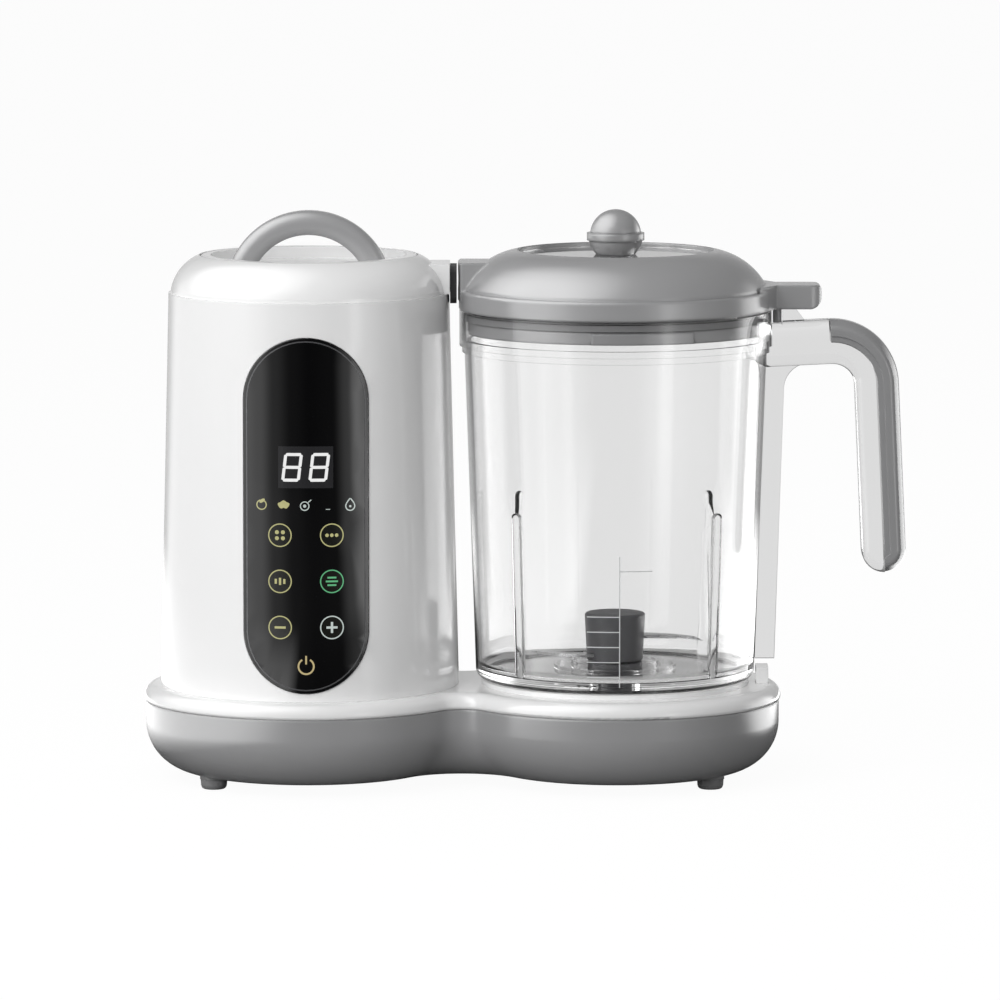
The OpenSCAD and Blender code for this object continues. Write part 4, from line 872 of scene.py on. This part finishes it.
class FOODMAKER_OT_metals(bpy.types.Operator):
    """Gives the blades, shafts, boiler and screws their finish"""

    bl_idname = "foodmaker.metals"
    bl_label = "Metals"

    def execute(self, context):
        finish = context.scene.food_maker_finish
        dress(
            brushed_stainless(finish), "boiler_cup", "blade_spindle", "lower_blade", "upper_blade",
            "drive_shaft", "motor_shaft", "drive_bearings",
        )
        dress(
            zinc_plated_steel(finish), "base_screws", "tower_screws", "motor_screws", "cap_screws",
            "knob_screw", "motor_can", "motor_bracket",
        )
        dress(cast_aluminium(finish), "heating_plate")
        return {"FINISHED"}


class FOODMAKER_OT_drive(bpy.types.Operator):
    """Gives the couplings, pulleys, boards and windings their finish"""

    bl_idname = "foodmaker.drive"
    bl_label = "Drive and electrics"

    def execute(self, context):
        finish = context.scene.food_maker_finish
        dress(
            dark_nylon(finish), "blade_hub", "blade_bush", "bush_nut", "drive_coupling", "jar_coupling",
            "motor_pulley", "driven_pulley", "jar_switch", "thermostat", "display_module",
        )
        dress(circuit_board(finish), "control_board", "power_board")
        dress(wound_copper(finish), "motor_armature")
        return {"FINISHED"}


class FOODMAKER_OT_grip(bpy.types.Operator):
    """Builds the handle's glossy outer cover with its sunk bands and sloped sides"""

    bl_idname = "foodmaker.grip"
    bl_label = "Handle cover"

    def execute(self, context):
        made = gloss_grey_abs(context.scene.food_maker_finish)
        piece = handle_grip(context.scene.food_maker_handle, made)
        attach(piece, "jar")
        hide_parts("handle_cover")
        return {"FINISHED"}


class FOODMAKER_OT_display(bpy.types.Operator):
    """Adds the panel's rim as a painted highlight line, the display's smoked window and its two digits"""

    bl_idname = "foodmaker.display"
    bl_label = "Display"

    def execute(self, context):
        finish = context.scene.food_maker_finish
        panel = context.scene.food_maker_panel
        middle_z = PANEL_FOOT + panel.display_z
        # The rim: a thin grey line drawn flat round the panel, a painted highlight of its bevelled edge
        low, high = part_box("panel_lens")
        half_w = (high.x - low.x) / 2 - panel.rim
        bm = bmesh.new()
        arc(bm, 0, high.z - panel.rim - half_w, half_w, panel.rim_highlight_line, 0, math.pi)
        arc(bm, 0, low.z + panel.rim + half_w, half_w, panel.rim_highlight_line, math.pi, math.pi)
        side_h = high.z - low.z - 2 * (panel.rim + half_w)
        for side in (-1, 1):
            bar(bm, side * (half_w - panel.rim_highlight_line / 2), (low.z + high.z) / 2, panel.rim_highlight_line, side_h)
        on_panel(bm, "panel_rim", panel_edge(finish), lift=0.03)
        bm = bmesh.new()
        bar(bm, 0, middle_z, panel.display_w, panel.display_h)
        on_panel(bm, "display_window", display_glass(finish), lift=0.06)
        bm = bmesh.new()
        for side in (-0.5, 0.5):
            digit_eight(bm, side * panel.digit_gap, middle_z, panel)
        on_panel(bm, "display_digits", lit_print("lit_digits", finish.digits), lift=0.16)
        return {"FINISHED"}


class FOODMAKER_OT_icons(bpy.types.Operator):
    """Adds the row of food icons under the display"""

    bl_idname = "foodmaker.icons"
    bl_label = "Icons"

    def execute(self, context):
        finish = context.scene.food_maker_finish
        panel = context.scene.food_maker_panel
        z = PANEL_FOOT + panel.icon_z
        r = panel.icon_r
        line = panel.line
        at = [(place - 2) * panel.icon_gap for place in range(5)]
        bm = bmesh.new()
        # A round fruit with its leaf
        arc(bm, at[0], z, r, line, math.radians(105), math.radians(330))
        disc(bm, at[0] + 0.1 * r, z + 0.75 * r, 0.3 * r, 2.0, math.radians(35))
        # A leafy head
        for vert in disc(bm, at[1], z + 0.1 * r, 0.7 * r, 1.6):
            turn = math.atan2(vert.co.z - z, vert.co.x - at[1])
            vert.co.z += 0.12 * r * math.cos(4 * turn)
        on_panel(bm, "icon_lights_yellow", lit_print("lit_icons_yellow", finish.yellow), lift=0.1)
        bm = bmesh.new()
        # A root with its stalk
        arc(bm, at[2] - 0.2 * r, z - 0.15 * r, 0.9 * r, 0.9 * line)
        disc(bm, at[2] - 0.2 * r, z - 0.15 * r, 0.3 * r)
        bar(bm, at[2] + 0.75 * r, z + 0.8 * r, 0.75 * r, 0.9 * line, math.radians(40))
        # A low mark
        bar(bm, at[3], z - 0.8 * r, 0.8 * r, 0.6 * line)
        # A water drop
        arc(bm, at[4], z - 0.25 * r, 0.95 * r, line, math.radians(145), math.radians(250))
        for side in (-1, 1):
            bar(bm, at[4] + side * 0.38 * r, z + 0.75 * r, line, 1.15 * r, side * math.radians(36))
        disc(bm, at[4], z - 0.3 * r, 0.22 * r)
        on_panel(bm, "icon_lights_white", lit_print("lit_icons_white", finish.pale), lift=0.1)
        return {"FINISHED"}


class FOODMAKER_OT_keys(bpy.types.Operator):
    """Adds the six ringed keys with plain signs, their glow and the power key"""

    bl_idname = "foodmaker.keys"
    bl_label = "Keys"

    def execute(self, context):
        finish = context.scene.food_maker_finish
        panel = context.scene.food_maker_panel
        left = -panel.key_x
        right = panel.key_x
        rows = [PANEL_FOOT + panel.key_z + row * panel.key_rise for row in range(3)]
        line = panel.line
        sign = panel.sign
        bold = panel.bold

        bm = bmesh.new()
        for x in (left, right):
            for z in rows:
                disc(bm, x, z, panel.key_r - line)
        on_panel(bm, "key_glow", lit_print("key_glow", finish.glow, 0.5), lift=0.05)

        bm = bmesh.new()
        for x, z in ((left, rows[0]), (left, rows[1]), (left, rows[2]), (right, rows[2])):
            arc(bm, x, z, panel.key_r, line)
        # Minus
        bar(bm, left, rows[0], sign, bold)
        # A wave of bars
        for step in (-1, 0, 1):
            bar(bm, left + step * panel.wave_step, rows[1], bold, sign * (0.65 - 0.2 * abs(step)))
        # Four dots
        for x in (-panel.dot_step, panel.dot_step):
            for z in (-panel.dot_step, panel.dot_step):
                disc(bm, left + x, rows[2] + z, panel.dot_r)
        # A row of dots
        for step in (-1, 0, 1):
            disc(bm, right + step * panel.row_step, rows[2], panel.row_r)
        on_panel(bm, "key_lights_yellow", lit_print("lit_keys_yellow", finish.yellow), lift=0.14)

        bm = bmesh.new()
        arc(bm, right, rows[1], panel.key_r, line)
        # A stack of bars
        for step in (-1, 0, 1):
            bar(bm, right, rows[1] + step * panel.stack_step, sign * (1.1 - 0.3 * abs(step)), panel.thin)
        on_panel(bm, "key_light_green", lit_print("lit_key_green", finish.green), lift=0.14)

        bm = bmesh.new()
        arc(bm, right, rows[0], panel.key_r, line)
        # Plus
        bar(bm, right, rows[0], sign, bold)
        for side in (-1, 1):
            bar(bm, right, rows[0] + side * (sign + bold) / 4, bold, (sign - bold) / 2)
        on_panel(bm, "key_light_white", lit_print("lit_key_white", finish.pale), lift=0.14)

        bm = bmesh.new()
        z = PANEL_FOOT + panel.power_z
        arc(bm, 0, z, panel.power_r, panel.thin, math.radians(120), math.radians(300))
        bar(bm, 0, z + 0.75 * panel.power_r, panel.thin, panel.power_r)
        on_panel(bm, "power_light", lit_print("lit_power", finish.warm), lift=0.1)
        return {"FINISHED"}


class FOODMAKER_OT_scale(bpy.types.Operator):
    """Adds the printed filling scale on the jar's front"""

    bl_idname = "foodmaker.scale"
    bl_label = "Filling scale"

    def execute(self, context):
        scale = context.scene.food_maker_scale
        bm = bmesh.new()
        bar(bm, scale.place, (scale.low + scale.high) / 2, scale.line, scale.high - scale.low)
        left = scale.place - scale.line / 2
        right = scale.place + scale.line / 2
        for step in range(LEFT_TICKS):
            bar(bm, left - scale.tick / 2, scale.first + step * scale.step, scale.tick, scale.line)
        bar(bm, right + scale.tick / 2, scale.first + RIGHT_TICK * scale.step, scale.tick, scale.line)
        made = scale_ink(context.scene.food_maker_finish)
        wrap(bm, "filling_scale", "jar", made, front_of("jar_body", JAR_X), JAR_X, lift=0.06)
        return {"FINISHED"}


OPERATORS = (
    FOODMAKER_OT_stage,
    FOODMAKER_OT_mouldings,
    FOODMAKER_OT_seals,
    FOODMAKER_OT_metals,
    FOODMAKER_OT_drive,
    FOODMAKER_OT_grip,
    FOODMAKER_OT_display,
    FOODMAKER_OT_icons,
    FOODMAKER_OT_keys,
    FOODMAKER_OT_scale,
)


class FOODMAKER_PT_panel(bpy.types.Panel):
    """Lists the steps that dress the food processor"""

    bl_idname = "FOODMAKER_PT_panel"
    bl_label = "Food maker"
    bl_space_type = "VIEW_3D"
    bl_region_type = "UI"
    bl_category = "Food maker"

    def draw(self, context):
        for operator in OPERATORS:
            self.layout.operator(operator.bl_idname)


SETTINGS = {
    "food_maker_view": FoodMakerView,
    "food_maker_light": FoodMakerLight,
    "food_maker_finish": FoodMakerFinish,
    "food_maker_panel": FoodMakerPanel,
    "food_maker_scale": FoodMakerScale,
    "food_maker_handle": FoodMakerHandle,
}


def register():
    for kind in (*SETTINGS.values(), *OPERATORS, FOODMAKER_PT_panel):
        bpy.utils.register_class(kind)
    for name, group in SETTINGS.items():
        setattr(bpy.types.Scene, name, PointerProperty(type=group))


def unregister():
    for name in SETTINGS:
        delattr(bpy.types.Scene, name)
    for kind in (FOODMAKER_PT_panel, *reversed(OPERATORS), *SETTINGS.values()):
        bpy.utils.unregister_class(kind)


def main():
    register()
    bpy.ops.foodmaker.stage()
    bpy.ops.foodmaker.mouldings()
    bpy.ops.foodmaker.seals()
    bpy.ops.foodmaker.metals()
    bpy.ops.foodmaker.drive()
    bpy.ops.foodmaker.grip()
    bpy.ops.foodmaker.display()
    bpy.ops.foodmaker.icons()
    bpy.ops.foodmaker.keys()
    bpy.ops.foodmaker.scale()


if __name__ == "__main__":
    main()
